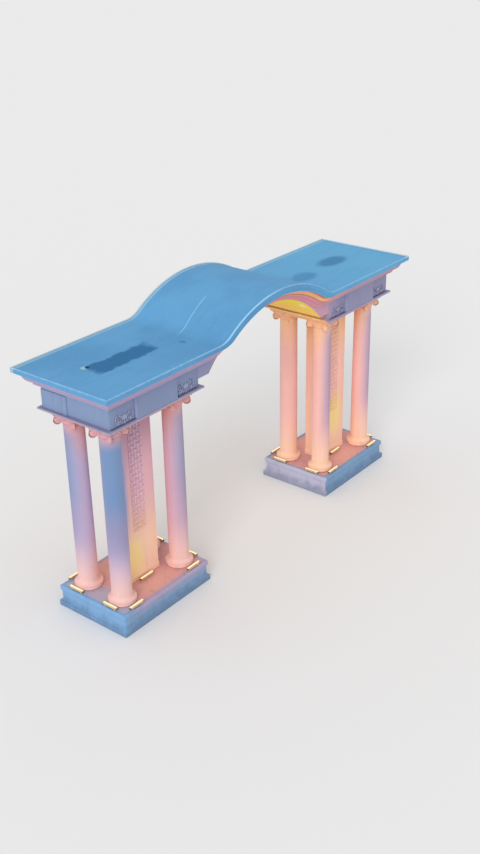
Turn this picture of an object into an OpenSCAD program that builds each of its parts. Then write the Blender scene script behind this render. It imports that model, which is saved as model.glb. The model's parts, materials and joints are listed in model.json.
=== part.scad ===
// Triumphal arch of two four-column towers, joined over the roadway by a swan-neck arch.
// One cornice and one roof run from end to end. Millimetres, +Z up: X runs along the
// span, Y through the passage, and the origin is on the ground midway between the towers.

/* [Overall] */
// Distance between the centres of the two towers
tower_spacing = 8920; // [8200:20:9800]
// Height of the plain frieze's foot, the top of the ledge, over the ground
ledge_z = 5820; // [5200:20:6600]

/* [Plinth] */
// Height of a plinth
plinth_h = 620; // [400:10:900]
// Height of the band at the plinth's top
plinth_cap_h = 170; // [100:10:180]
// Height of the band at the plinth's foot
plinth_foot_h = 150; // [80:10:180]
// How far the foot stands out beyond the top
plinth_foot_out = 36; // [10:2:80]
// How far the plinth's middle is drawn in below its top
plinth_waist = 34; // [10:2:60]

/* [Columns] */
// Distance between a tower's columns along the span, centre to centre
column_dx = 2218; // [2100:2:2400]
// Distance between a tower's columns through the passage, centre to centre
column_dy = 1226; // [1160:2:1400]
// Diameter of a shaft at its foot
shaft_d = 550; // [480:2:570]
// Diameter of a shaft under its capital
shaft_top_d = 528; // [440:2:560]
// Height of a column's base
base_h = 270; // [220:10:340]
// Diameter of a column's base at the floor
base_d = 760; // [680:10:840]

/* [Capital] */
// Height of a capital, abacus included
capital_h = 236; // [224:2:280]
// Width of the abacus, over its four horns
abacus_w = 750; // [700:5:780]
// Thickness of the abacus
abacus_t = 36; // [24:2:50]
// Hollow of each side of the abacus
abacus_hollow = 42; // [20:2:60]
// How much each pointed horn of the abacus is cut back
horn_cut = 50; // [20:2:80]
// Height of the ring at the capital's foot
neck_ring_h = 26; // [16:2:40]
// How far the round echinus spreads beyond the shaft
echinus_out = 34; // [20:2:40]
// Height of the echinus's upright rim under the abacus
echinus_rim_h = 30; // [16:2:40]
// Diameter of a volute
volute_d = 196; // [160:2:198]
// Thickness of a volute, across its two faces
volute_t = 104; // [70:2:120]
// Depth of the channel that winds into each volute
volute_groove = 12; // [4:1:20]
// Width of the rim left outside that channel
volute_rim = 14; // [8:1:20]
// How far a volute is set in from the tip of its horn
volute_in = 8; // [4:1:20]
// Height of the saddle that carries two opposite volutes
saddle_h = 44; // [30:2:60]
// Quarter turns of that channel
volute_turns = 8; // [4:1:10]

/* [Pier] */
// Clear space between the pier's foot and the column bases beside it
pier_gap = 105; // [60:5:200]
// Thickness of the pier through the passage
pier_t = 620; // [400:10:660]
// Height of the plain course at the pier's foot
pier_foot_h = 160; // [80:10:400]
// How far that course stands out
pier_foot_out = 14; // [6:1:50]
// Width of the carved panel on the pier's two long faces
panel_w = 480; // [400:10:640]
// How far the carved panel stands out
panel_t = 24; // [10:2:40]
// Height of the carved panel's foot over the plinth
panel_foot = 1450; // [400:50:2500]
// Plain wall left over the carved panel
panel_gap = 100; // [40:10:300]

/* [Entablature] */
// How far the frieze runs past the columns' centres along the span
frieze_over_x = 467; // [460:1:600]
// How far the frieze runs past the columns' centres through the passage
frieze_over_y = 520; // [460:1:620]
// Height of the plain frieze
frieze_h = 490; // [400:10:600]
// Height of the moulded architrave under the frieze
architrave_h = 220; // [200:4:340]
// How far the architrave's ledge stands out beyond the frieze
ledge_out = 107; // [60:1:140]
// Thickness of that ledge at its tip
ledge_t = 50; // [30:2:80]
// How far the architrave's underside is set in behind the frieze
architrave_in = 120; // [60:2:160]
// Width of the plain tablet in the middle of the frieze's long faces
tablet_w = 1480; // [1200:10:1520]
// How far that tablet stands out
tablet_t = 100; // [40:2:104]
// Width of a carved plaque, between the tablet and the frieze's corner
plaque_w = 600; // [500:10:700]
// Plain wall left between the tablet and a plaque
plaque_gap = 50; // [20:2:120]
// Height of a plaque's foot over the ledge
plaque_foot = 18; // [10:2:80]
// Height of those plaques
plaque_h = 286; // [200:2:360]
// How far the plaques stand out
plaque_t = 30; // [15:1:50]
// How far the back part of the left tower's outer face stands out
facing_t = 30; // [20:2:80]
// Length of that part, from the back corner
facing_len = 870; // [600:10:1200]

/* [Cornice and roof] */
// Radius of the hollow moulding at the cornice's foot
cove_r = 108; // [70:1:120]
// Height of the narrow band over the hollow
band_h = 60; // [40:2:90]
// How far the narrow band stands out
band_out = 126; // [121:1:150]
// Height of the large wave moulding
wave_h = 290; // [220:5:360]
// How far the wave moulding's top is set back under the roof slab's edge
wave_in = 17; // [10:1:60]
// How far the roof slab stands out beyond the frieze
roof_out = 482; // [420:2:540]
// Thickness of the roof slab
roof_t = 100; // [80:5:160]
// Height of the raised lip along the roof's edge
lip_h = 32; // [20:2:60]
// Width of that lip
lip_w = 44; // [30:2:100]

/* [Arch] */
// How far in from a tower's inner face the roof's edge starts to rise
rise_in = 338; // [200:2:500]
// Rise of the roof's edge at the crest
arch_rise = 774; // [600:2:1000]
// Radius of the hollow sweep at each end of the rise
sweep_r = 766; // [600:2:1000]
// Thickness of the arch at its crest, from the roof's edge to the underside
arch_t = 528; // [500:2:560]
// Height over the ledge at which the underside springs
spring_h = 200; // [120:10:260]
// How far in from a tower's inner face the curved underside springs
spring_in = 414; // [300:2:600]
// Width of the keys inside the arch's cornice that tie its three stretches
key_w = 20; // [10:1:30]

/* [Roof outlet] */
// Distance of the rain outlet from the left tower's centre, towards the outer end
outlet_x = 935; // [0:5:1400]
// Distance of the rain outlet from the middle of the roof's depth, towards the back
outlet_y = 150; // [-1000:10:1000]
// Diameter of the rain outlet's pipe
outlet_d = 80; // [60:5:160]
// Wall of that pipe
outlet_wall = 6; // [4:1:14]
// Height of the rain outlet over the roof
outlet_h = 20; // [16:2:80]
// How far the outlet's collar stands out round the pipe
collar_out = 14; // [8:2:60]
// Thickness of that collar
collar_t = 6; // [4:1:12]

/* [Lamps] */
// Length of a lamp bar
lamp_l = 480; // [300:10:560]
// Width of a lamp bar
lamp_w = 70; // [50:2:90]
// Height of a lamp bar over its feet
lamp_body_h = 60; // [40:2:80]
// Height of the feet under a lamp bar
lamp_foot_h = 40; // [20:2:60]
// Width of a lamp bar's feet
lamp_foot_w = 24; // [16:2:40]
// Space between a lamp bar and the plinth's edge
lamp_margin = 35; // [20:1:60]
// Space between a column's base and the lamp bar at the plinth's end
lamp_clear_x = 34; // [20:1:80]
// Space between a column's base and the lamp bar at the plinth's long side
lamp_clear_y = 87; // [20:1:160]
// Space between the pier and the lamp bar in front of it
lamp_gap = 78; // [40:2:90]
// Side of the small square lamps under the arch
spot_w = 100; // [80:2:120]
// Space between those lamps and the springing over them
spot_gap = 10; // [4:1:40]
// Distance of those lamps from the middle of the passage's length, to the front for a
// negative value
spot_y = -220; // [-600:10:600]

/* [Hidden] */
$fn = 72;

white = "#d9dde6";
cream = "#e8e0da";
roof_blue = "#a9bccb";
steel = "#6f747c";
warm = "#ffe2b0";

// Heights over the ground
capital_top = ledge_z - architrave_h;
shaft_foot = plinth_h + base_h;
shaft_head = capital_top - capital_h;
frieze_top = ledge_z + frieze_h;
roof_under = frieze_top + cove_r + band_h + wave_h;
roof_top = roof_under + roof_t;
edge_z = roof_top + lip_h;
wave_out = roof_out - wave_in;

// Plan sizes: the columns' grid sets the frieze over it and the plinth and pier under it
frieze_len = column_dx + 2 * frieze_over_x;
frieze_dep = column_dy + 2 * frieze_over_y;
plinth_len = column_dx + base_d + 2 * (lamp_clear_x + lamp_w + lamp_margin);
plinth_dep = column_dy + base_d + 2 * (lamp_clear_y + lamp_w + lamp_margin);
pier_w = column_dx - base_d - 2 * (pier_gap + pier_foot_out);
inner_face = tower_spacing / 2 - frieze_len / 2;
roof_end = tower_spacing / 2 + frieze_len / 2 + roof_out;
roof_half = frieze_dep / 2 + roof_out;

// The roof's edge in elevation: flat, a hollow sweep, a round crown, a sweep, flat
half_span = inner_face - rise_in;
centres = (half_span * half_span + arch_rise * arch_rise) / (2 * arch_rise);
crown_r = centres - sweep_r;
crown_z = edge_z + arch_rise - crown_r;
crown_angle = asin(half_span / centres);

// The arch's underside: one round arc between its springings
spring_z = ledge_z + spring_h;
spring_x = inner_face - spring_in;
vault_top = edge_z + arch_rise - arch_t;
vault_rise = vault_top - spring_z;
vault_r = (spring_x * spring_x + vault_rise * vault_rise) / (2 * vault_rise);
vault_z = vault_top - vault_r;

// Points of an arc of radius r from p to q, in n steps, turning left on the way for a
// positive radius and right for a negative one
function left_arc(p, q, r, n) =
    let (
        half = (q - p) / 2,
        c = p + half + sqrt(r * r - half * half) * [-half[1], half[0]] / norm(half),
        from = atan2(p[1] - c[1], p[0] - c[0]),
        turn = 2 * asin(norm(half) / r)
    )
    [for (i = [0:n]) c + r * [cos(from + turn * i / n), sin(from + turn * i / n)]];

function bend(p, q, r, n = 6) =
    r > 0 ? left_arc(p, q, r, n)
    : let (back = left_arc(q, p, -r, n)) [for (i = [n:-1:0]) back[i]];

// A tower stands at each end of the span
module at_tower(side) {
    translate([side * tower_spacing / 2, 0, 0]) children();
}

// A copy at each of the four corners of a tower, at half of dx and dy from its centre
module at_corners(dx, dy) {
    for (sx = [-1, 1])
        for (sy = [-1, 1])
            translate([sx * dx / 2, sy * dy / 2, 0]) children();
}

// A block whose four sides share one moulded section. The section's points are
// [projection, height], and its first and last points close it across the block.
module moulded_block(len, dep, section) {
    function across(w) = concat(
        [for (p = section) [w / 2 + p[0], p[1]]],
        [for (i = [len(section) - 1:-1:0]) [-w / 2 - section[i][0], section[i][1]]]);
    reach = 2 * max([for (p = section) p[0]]) + 100;
    intersection() {
        rotate([90, 0, 0])
            linear_extrude(height = dep + reach, center = true)
                polygon(across(len));
        rotate([90, 0, 90])
            linear_extrude(height = len + reach, center = true)
                polygon(across(dep));
    }
}

// Plinth with a foot band, a drawn-in die and a cap band
module plinth(side) {
    step = plinth_foot_out + plinth_waist;
    cap_z = plinth_h - plinth_cap_h;
    section = concat(
        [[plinth_foot_out, 0]],
        bend([plinth_foot_out, plinth_foot_h], [-plinth_waist, plinth_foot_h + step], -step),
        bend([-plinth_waist, cap_z], [0, cap_z + plinth_waist], -plinth_waist, 4),
        [[0, plinth_h]]);
    color(white)
        at_tower(side)
            moulded_block(plinth_len, plinth_dep, section);
}

// Round base: a torus and a fillet, then a hollow sweep that runs into the shaft
module column_base() {
    torus_r = base_h * 0.2;
    foot_r = base_d / 2 - torus_r;
    fillet_z = 2 * torus_r + base_h * 0.08;
    top_r = shaft_d / 2;
    sweep_h = base_h - fillet_z;
    sweep = min(sweep_h, foot_r - top_r);
    rotate_extrude()
        polygon(concat(
            [[0, 0], [foot_r, 0]],
            bend([foot_r, 0], [foot_r, 2 * torus_r], torus_r * 1.001, 12),
            [[top_r + sweep, 2 * torus_r]],
            bend([top_r + sweep, fillet_z], [top_r, fillet_z + sweep], -sweep, 8),
            [[top_r, base_h], [0, base_h]]));
}

module column_bases(side) {
    color(cream)
        at_tower(side)
            at_corners(column_dx, column_dy)
                translate([0, 0, plinth_h]) column_base();
}

// One smooth shaft, drawn in a little towards its top
module shaft(side, sx, sy) {
    color(cream)
        at_tower(side)
            translate([sx * column_dx / 2, sy * column_dy / 2, shaft_foot])
                cylinder(d1 = shaft_d, d2 = shaft_top_d, h = shaft_head - shaft_foot);
}

// Volute: a disc whose faces carry a channel of quarter arcs that winds in to an eye
volute_r = volute_d / 2;
wind = 0.8;
function turn_r(k) = (volute_r - volute_rim) * pow(wind, k);
function turn_centre(k) = k == 0 ? [0, 0] :
    turn_centre(k - 1) + (turn_r(k - 1) - turn_r(k)) * [cos(90 * k), sin(90 * k)];

module channel() {
    for (k = [0:volute_turns - 1])
        translate(turn_centre(k))
            rotate(90 * k)
                intersection() {
                    difference() {
                        circle(r = turn_r(k));
                        circle(r = turn_r(k) * 0.84);
                    }
                    square(volute_d);
                }
}

module volute() {
    rotate([90, 0, 0])
        difference() {
            cylinder(r = volute_r, h = volute_t, center = true);
            for (face = [0, 1])
                mirror([0, 0, face])
                    translate([0, 0, volute_t / 2 - volute_groove])
                        linear_extrude(height = volute_groove + 1) channel();
        }
}

// Four-sided Ionic capital: a necking ring, a round echinus, four volutes set on the
// diagonals, and an abacus with hollow sides and blunt horns
module capital() {
    top_r = shaft_top_d / 2;
    echinus_r = top_r + echinus_out;
    drum_h = capital_h - abacus_t;
    rim_z = drum_h - echinus_rim_h;
    horn = abacus_w / 2 * sqrt(2) - horn_cut;
    volute_x = horn - volute_r - volute_in;
    side_r = (pow(abacus_w / 2, 2) + pow(abacus_hollow, 2)) / (2 * abacus_hollow);
    union() {
        rotate_extrude()
            polygon(concat(
                [[0, 0]],
                bend([top_r, 0], [top_r, neck_ring_h], neck_ring_h / 2 * 1.001, 6),
                bend([top_r, neck_ring_h], [echinus_r, rim_z], (rim_z - neck_ring_h) * 0.78, 6),
                [[echinus_r, drum_h], [0, drum_h]]));
        for (turn = [45:90:315])
            rotate(turn) {
                translate([volute_x, 0, drum_h - volute_r]) volute();
                translate([0, -volute_t * 0.36, drum_h - saddle_h])
                    cube([volute_x, volute_t * 0.72, saddle_h]);
            }
        translate([0, 0, drum_h])
            linear_extrude(height = abacus_t)
                difference() {
                    intersection() {
                        square(abacus_w, center = true);
                        rotate(45) square(2 * horn, center = true);
                    }
                    for (turn = [0:90:270])
                        rotate(turn)
                            translate([abacus_w / 2 - abacus_hollow + side_r, 0])
                                circle(r = side_r);
                }
    }
}

module capitals(side) {
    color(cream)
        at_tower(side)
            at_corners(column_dx, column_dy)
                translate([0, 0, shaft_head]) capital();
}

// Pier of masonry between the columns, with a low course at its foot
module pier(side) {
    color(cream)
        at_tower(side)
            translate([0, 0, plinth_h])
                moulded_block(pier_w, pier_t, [
                    [pier_foot_out, 0], [pier_foot_out, pier_foot_h - pier_foot_out],
                    [0, pier_foot_h], [0, capital_top - plinth_h]
                ]);
}

// Carved panels on the pier's two long faces
module pier_panels(side) {
    low = plinth_h + panel_foot;
    high = capital_top - panel_gap;
    color(cream)
        at_tower(side)
            for (sy = [-1, 1])
                translate([-panel_w / 2, sy * (pier_t + panel_t) / 2 - panel_t / 2, low])
                    cube([panel_w, panel_t, high - low]);
}

// Architrave: a hollow moulding that spreads from the capitals out to a thin ledge
module architrave(side) {
    foot = [-architrave_in, 0];
    under = [ledge_out, architrave_h - ledge_t];
    section = concat(
        bend(foot, under, -norm(under - foot) * 1.1, 8),
        [[ledge_out, architrave_h]]);
    color(white)
        at_tower(side)
            translate([0, 0, capital_top])
                moulded_block(frieze_len, frieze_dep, section);
}

// Frieze block with a plain tablet in the middle of each long face and, on the left
// tower, a facing on its outer end's back part
module frieze(side) {
    color(white)
        at_tower(side)
            translate([0, 0, ledge_z])
                linear_extrude(height = frieze_h)
                    union() {
                        square([frieze_len, frieze_dep], center = true);
                        square([tablet_w, frieze_dep + 2 * tablet_t], center = true);
                        if (side < 0)
                            translate([-frieze_len / 2 - facing_t, frieze_dep / 2 - facing_len])
                                square([frieze_len / 2, facing_len]);
                    }
}

// Carved plaques over the columns, on the frieze's two long faces
module frieze_plaques(side) {
    middle = tablet_w / 2 + plaque_gap + plaque_w / 2;
    color(white)
        at_tower(side)
            for (sx = [-1, 1])
                for (sy = [-1, 1])
                    translate([
                        sx * middle - plaque_w / 2,
                        sy * (frieze_dep + plaque_t) / 2 - plaque_t / 2,
                        ledge_z + plaque_foot
                    ])
                        cube([plaque_w, plaque_t, plaque_h]);
}

// Depths of the cornice's members under the roof's edge
wave_top = roof_t + lip_h;
band_top = wave_top + wave_h;
cove_top = band_top + band_h;
cornice_depth = cove_top + cove_r;

// The cornice's section from its foot up, as [projection from the frieze, height from
// the roof's edge]: a hollow, a narrow band and a wave that ends under the roof slab
function cornice_section() =
    let (
        low = [band_out, -band_top],
        high = [wave_out, -wave_top],
        middle = (low + high) / 2,
        wave_r = norm(high - low) * 0.5
    )
    concat(
        bend([0, -cornice_depth], [cove_r, -cove_top], -cove_r),
        [[band_out, -cove_top]],
        bend(low, middle, wave_r),
        bend(middle, high, -wave_r));

function shifted(points, by) = [for (p = points) p + by];
function mirrored(points) = [for (i = [len(points) - 1:-1:0]) [-points[i][0], points[i][1]]];

// Cornice of one tower: moulded on the two long sides and the outer end, and cut off
// square where the arch's own cornice goes on
module cornice(side) {
    outer = tower_spacing / 2 + frieze_len / 2;
    long_side = shifted(cornice_section(), [frieze_dep / 2, 0]);
    outer_end = concat(
        [[half_span, -cornice_depth]],
        shifted(cornice_section(), [outer, 0]),
        [[half_span, -wave_top]]);
    color(white)
        mirror([side > 0 ? 0 : 1, 0, 0])
            translate([0, 0, edge_z])
                intersection() {
                    rotate([90, 0, 0])
                        linear_extrude(height = 3 * frieze_dep, center = true)
                            polygon(outer_end);
                    rotate([90, 0, 90])
                        linear_extrude(height = 2 * outer)
                            polygon(concat(long_side, mirrored(long_side)));
                }
}

// Area between the outline given, which runs from left to right, and the swan-neck line
// over it set down by t. The crown's circle is drawn larger by a lap, so that it crosses
// the sweeps' circles instead of only touching them.
module under_edge(t, outline) {
    lap = 0.02;
    over = edge_z + arch_rise + lip_h;
    ray = 2 * crown_r * [sin(crown_angle), cos(crown_angle)];
    difference() {
        polygon(concat(outline, [[half_span, over], [-half_span, over]]));
        difference() {
            translate([0, crown_z]) polygon([[0, 0], ray, [-ray[0], ray[1]]]);
            translate([0, crown_z]) circle(r = crown_r - t + lap);
        }
        for (s = [-1, 1])
            translate([s * half_span, edge_z + sweep_r]) circle(r = sweep_r + t);
    }
}

// Strip between two depths under the swan-neck line
module edge_strip(t0, t1) {
    difference() {
        under_edge(t0, [[-half_span, edge_z - t1], [half_span, edge_z - t1]]);
        under_edge(t1, [[-half_span, edge_z - t1 - 1], [half_span, edge_z - t1 - 1]]);
    }
}

module across_passage(dep) {
    rotate([90, 0, 0]) linear_extrude(height = dep, center = true) children();
}

// Vault: the body of the arch, between the frieze blocks and under the roof
module arch_vault() {
    color(white)
        across_passage(frieze_dep)
            difference() {
                under_edge(wave_top, [
                    [-half_span, frieze_top], [-inner_face, frieze_top], [-inner_face, spring_z],
                    [inner_face, spring_z], [inner_face, frieze_top], [half_span, frieze_top]
                ]);
                translate([0, vault_z]) circle(r = vault_r);
            }
}

// One stretch of the arch's cornice: the section turned about a centre in elevation,
// with the roof's edge outside it on the crown and inside it on a sweep
module turned_cornice(centre, from, to, radius, outside) {
    translate([centre[0], 0, centre[1]])
        rotate([90, 0, 0])
            rotate([0, 0, from])
                rotate_extrude(angle = to - from)
                    polygon([for (p = concat(cornice_section(), [[0, -wave_top]]))
                        [radius + (outside ? p[1] : -p[1]), frieze_dep / 2 + p[0]]
                    ]);
}

// The arch's cornice on one face, keyed together inside at its two joints, and cut off
// where it reaches the underside of the arch
module arch_cornice(sy) {
    joint_r = crown_r - (wave_top + cove_top) / 2;
    color(white)
        mirror([0, sy > 0 ? 1 : 0, 0])
            difference() {
                union() {
                    for (s = [-1, 1])
                        translate([0, 0, crown_z])
                            rotate([0, s * crown_angle, 0])
                                translate([0, -frieze_dep / 2 - key_w, joint_r])
                                    cube([2 * key_w, key_w, wave_h / 2], center = true);
                    turned_cornice([0, crown_z], 90 - crown_angle, 90 + crown_angle, crown_r, true);
                    for (s = [0, 1])
                        mirror([s, 0, 0])
                            turned_cornice(
                                [half_span, edge_z + sweep_r],
                                270 - crown_angle, 270, sweep_r, false);
                }
                translate([0, 0, vault_z])
                    rotate([90, 0, 0])
                        cylinder(r = vault_r, h = 4 * frieze_dep, center = true);
            }
}

// Roof slabs
module end_roof(side) {
    color(roof_blue)
        mirror([side > 0 ? 0 : 1, 0, 0])
            translate([half_span, -roof_half, roof_under])
                cube([roof_end - half_span, 2 * roof_half, roof_t]);
}

module arch_roof() {
    color(roof_blue)
        across_passage(2 * roof_half)
            edge_strip(lip_h, wave_top);
}

// Raised lip along a long side, over the slabs' edge
module long_lip(sy) {
    color(roof_blue)
        translate([0, sy * (roof_half - lip_w / 2), 0]) {
            across_passage(lip_w) edge_strip(0, lip_h);
            for (side = [-1, 1])
                translate([side * (half_span + roof_end) / 2, 0, roof_top + lip_h / 2])
                    cube([roof_end - half_span, lip_w, lip_h], center = true);
        }
}

// Raised lip across an end of the roof, between the long lips
module end_lip(side) {
    color(roof_blue)
        translate([side * (roof_end - lip_w / 2), 0, roof_top + lip_h / 2])
            cube([lip_w, 2 * (roof_half - lip_w), lip_h], center = true);
}

// Rain outlet on the left roof: a collar and a short pipe
module roof_outlet() {
    color(steel)
        at_tower(-1)
            translate([-outlet_x, outlet_y, roof_top])
                difference() {
                    union() {
                        cylinder(d = outlet_d + 2 * collar_out, h = collar_t);
                        cylinder(d = outlet_d, h = outlet_h);
                    }
                    translate([0, 0, collar_t])
                        cylinder(d = outlet_d - 2 * outlet_wall, h = outlet_h);
                }
}

// Lamp bars on the plinth: two beside each column and one before each face of the pier
module at_lamps() {
    out_x = plinth_len / 2 - lamp_margin - lamp_w / 2;
    out_y = plinth_dep / 2 - lamp_margin - lamp_w / 2;
    pier_y = pier_t / 2 + pier_foot_out + lamp_gap + lamp_w / 2;
    translate([0, 0, plinth_h]) {
        for (sx = [-1, 1])
            for (sy = [-1, 1]) {
                translate([sx * column_dx / 2, sy * out_y, 0]) children();
                translate([sx * out_x, sy * column_dy / 2, 0]) rotate(90) children();
            }
        for (sy = [-1, 1])
            translate([0, sy * pier_y, 0]) children();
    }
}

lens_inset = 8;
lens_t = 10;

module lamp_body() {
    difference() {
        union() {
            translate([-lamp_l / 2, -lamp_w / 2, lamp_foot_h])
                cube([lamp_l, lamp_w, lamp_body_h]);
            for (s = [-1, 1])
                translate([s * lamp_l * 0.36 - lamp_foot_w / 2, -lamp_w * 0.4, 0])
                    cube([lamp_foot_w, lamp_w * 0.8, lamp_foot_h]);
        }
        translate([0, 0, lamp_foot_h + lamp_body_h - lens_t / 2 + 1])
            cube([lamp_l - 2 * lens_inset, lamp_w - 2 * lens_inset, lens_t + 2], center = true);
    }
}

module lamp_lens() {
    translate([0, 0, lamp_foot_h + lamp_body_h - lens_t / 2])
        cube([lamp_l - 2 * lens_inset, lamp_w - 2 * lens_inset, lens_t], center = true);
}

module lamp_bodies(side) {
    color(steel) at_tower(side) at_lamps() lamp_body();
}

module lamp_lenses(side) {
    color(warm) at_tower(side) at_lamps() lamp_lens();
}

// Small square lamps on the friezes' inner faces, one close under each springing
module arch_lamps() {
    color(warm)
        for (side = [-1, 1])
            translate([side * (inner_face - spot_w * 0.4), spot_y, spring_z - spot_w / 2 - spot_gap])
                cube([spot_w * 0.8, spot_w, spot_w * 0.8], center = true);
}

module left_plinth() plinth(-1);
module right_plinth() plinth(1);
module left_column_bases() column_bases(-1);
module right_column_bases() column_bases(1);
module left_shaft_outer_front() shaft(-1, -1, -1);
module left_shaft_outer_back() shaft(-1, -1, 1);
module left_shaft_inner_front() shaft(-1, 1, -1);
module left_shaft_inner_back() shaft(-1, 1, 1);
module right_shaft_inner_front() shaft(1, -1, -1);
module right_shaft_inner_back() shaft(1, -1, 1);
module right_shaft_outer_front() shaft(1, 1, -1);
module right_shaft_outer_back() shaft(1, 1, 1);
module left_capitals() capitals(-1);
module right_capitals() capitals(1);
module left_pier() pier(-1);
module right_pier() pier(1);
module left_pier_panels() pier_panels(-1);
module right_pier_panels() pier_panels(1);
module left_architrave() architrave(-1);
module right_architrave() architrave(1);
module left_frieze() frieze(-1);
module right_frieze() frieze(1);
module left_frieze_plaques() frieze_plaques(-1);
module right_frieze_plaques() frieze_plaques(1);
module left_cornice() cornice(-1);
module right_cornice() cornice(1);
module arch_cornice_front() arch_cornice(-1);
module arch_cornice_back() arch_cornice(1);
module left_roof() end_roof(-1);
module right_roof() end_roof(1);
module roof_lip_front() long_lip(-1);
module roof_lip_back() long_lip(1);
module roof_lip_left() end_lip(-1);
module roof_lip_right() end_lip(1);
module left_lamp_bodies() lamp_bodies(-1);
module right_lamp_bodies() lamp_bodies(1);
module left_lamp_lenses() lamp_lenses(-1);
module right_lamp_lenses() lamp_lenses(1);

left_plinth();
right_plinth();
left_column_bases();
right_column_bases();
left_shaft_outer_front();
left_shaft_outer_back();
left_shaft_inner_front();
left_shaft_inner_back();
right_shaft_inner_front();
right_shaft_inner_back();
right_shaft_outer_front();
right_shaft_outer_back();
left_capitals();
right_capitals();
left_pier();
right_pier();
left_pier_panels();
right_pier_panels();
left_architrave();
right_architrave();
left_frieze();
right_frieze();
left_frieze_plaques();
right_frieze_plaques();
left_cornice();
right_cornice();
arch_vault();
arch_cornice_front();
arch_cornice_back();
left_roof();
arch_roof();
right_roof();
roof_lip_front();
roof_lip_back();
roof_lip_left();
roof_lip_right();
roof_outlet();
left_lamp_bodies();
right_lamp_bodies();
left_lamp_lenses();
right_lamp_lenses();
arch_lamps();
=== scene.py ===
"""Triumphal arch of two four-column towers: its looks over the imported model.
Metres, +Z up, X along the span, Y through the passage to the back."""

import json
import math

import bpy
from mathutils import Matrix, Vector


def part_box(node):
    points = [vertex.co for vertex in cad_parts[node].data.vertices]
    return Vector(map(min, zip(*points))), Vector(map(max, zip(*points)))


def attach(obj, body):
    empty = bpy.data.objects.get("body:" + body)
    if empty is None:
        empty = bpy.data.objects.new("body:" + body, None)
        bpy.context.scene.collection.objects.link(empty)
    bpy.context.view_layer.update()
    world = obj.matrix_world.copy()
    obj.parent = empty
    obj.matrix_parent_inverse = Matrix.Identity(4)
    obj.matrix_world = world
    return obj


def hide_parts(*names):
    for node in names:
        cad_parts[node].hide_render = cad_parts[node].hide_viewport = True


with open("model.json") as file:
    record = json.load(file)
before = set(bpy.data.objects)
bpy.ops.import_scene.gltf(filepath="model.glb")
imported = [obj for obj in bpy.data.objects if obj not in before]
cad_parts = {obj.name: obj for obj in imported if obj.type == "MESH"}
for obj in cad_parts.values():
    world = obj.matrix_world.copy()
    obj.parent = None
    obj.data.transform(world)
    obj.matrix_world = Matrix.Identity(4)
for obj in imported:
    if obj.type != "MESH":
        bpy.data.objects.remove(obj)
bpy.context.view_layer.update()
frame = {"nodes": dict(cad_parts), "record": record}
SIDES = ("left", "right")
UP = Vector((0, 0, 1))


# Sizes taken from the frame, and a few that it doesn't give


def middle_of(node):
    low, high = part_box(node)
    return (low + high) / 2


def size_of(node):
    low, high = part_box(node)
    return high - low


TOWER_X = {side: middle_of(side + "_plinth").x for side in SIDES}
TOWER = TOWER_X["right"]
PLINTH_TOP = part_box("left_plinth")[1].z
PLINTH_FOOT_OUT = 0.036
SHAFT_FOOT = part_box("left_column_bases")[1].z
SHAFT_HEAD, CAPITAL_TOP = (corner.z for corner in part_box("left_capitals"))
LEDGE_Z, FRIEZE_TOP = (corner.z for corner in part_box("right_frieze"))
LEDGE_OUT, LEDGE_T, ARCHITRAVE_IN = 0.107, 0.05, 0.12
SHAFT_R = size_of("left_shaft_outer_front").x / 2
SHAFT_TOP_R = 0.264
COLUMN_DX = abs(middle_of("left_shaft_outer_front").x - TOWER_X["left"])
COLUMN_DY = abs(middle_of("left_shaft_outer_front").y)
ABACUS_W, ABACUS_H, ABACUS_DISH, HORN_CUT = 0.75, 0.036, 0.042, 0.05
HORN = ABACUS_W / 2 * math.sqrt(2) - HORN_CUT
VOLUTE_R, VOLUTE_T = 0.098, 0.104
PIER_CARVING_OUT = 0.024
PIER_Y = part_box("left_pier_panels")[1].y - PIER_CARVING_OUT
PLAQUE_W, PLAQUE_OUT = 0.6, 0.03
FRIEZE_L, FRIEZE_D = size_of("right_frieze").x, size_of("left_frieze_plaques").y - 2 * PLAQUE_OUT
TABLET_W, TABLET_SPLAY = 1.48, 0.94
ROOF_UNDER, ROOF_TOP = (corner.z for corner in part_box("left_roof"))
ROOF_X, ROOF_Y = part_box("right_roof")[1].xy
LIP_W = size_of("roof_lip_left").x
EDGE_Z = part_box("roof_lip_left")[1].z
LIP_H, SLAB_H = EDGE_Z - ROOF_TOP, EDGE_Z - ROOF_UNDER
COVE_R, BAND_H, BAND_OUT = 0.108, 0.06, 0.126
WAVE_H, WAVE_OUT = 0.29, 0.465
CORNERS = [(sx, sy) for sx in (-1, 1) for sy in (-1, 1)]

# The swan-neck: a hollow sweep on each side of a round crown, and the vault under it
HALF_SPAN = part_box("right_roof")[0].x
SWEEP_R = 0.766
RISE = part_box("roof_lip_front")[1].z - EDGE_Z
NECK_CENTRES = (HALF_SPAN ** 2 + RISE ** 2) / (2 * RISE)
CROWN_R = NECK_CENTRES - SWEEP_R
CROWN_Z = EDGE_Z + RISE - CROWN_R
NECK_ANGLE = math.asin(HALF_SPAN / NECK_CENTRES)
INNER_X = TOWER - FRIEZE_L / 2
SPRING_IN, SPRING_UP, CROWN_DEEP = 0.414, 0.2, 0.528
SPRING_X, SPRING_Z = INNER_X - SPRING_IN, LEDGE_Z + SPRING_UP
VAULT_TOP = EDGE_Z + RISE - CROWN_DEEP
VAULT_R = (SPRING_X ** 2 + (VAULT_TOP - SPRING_Z) ** 2) / (2 * (VAULT_TOP - SPRING_Z))
VAULT_Z = VAULT_TOP - VAULT_R


# Camera, as the photograph was taken
CAMERA_AT = (-21.288, -17.357, 16.789)
CAMERA_YAW = math.radians(50.992)
CAMERA_PITCH = math.radians(26.344)
CAMERA_ROLL = math.radians(-1.160)
CAMERA_LENS = 45.03


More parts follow.
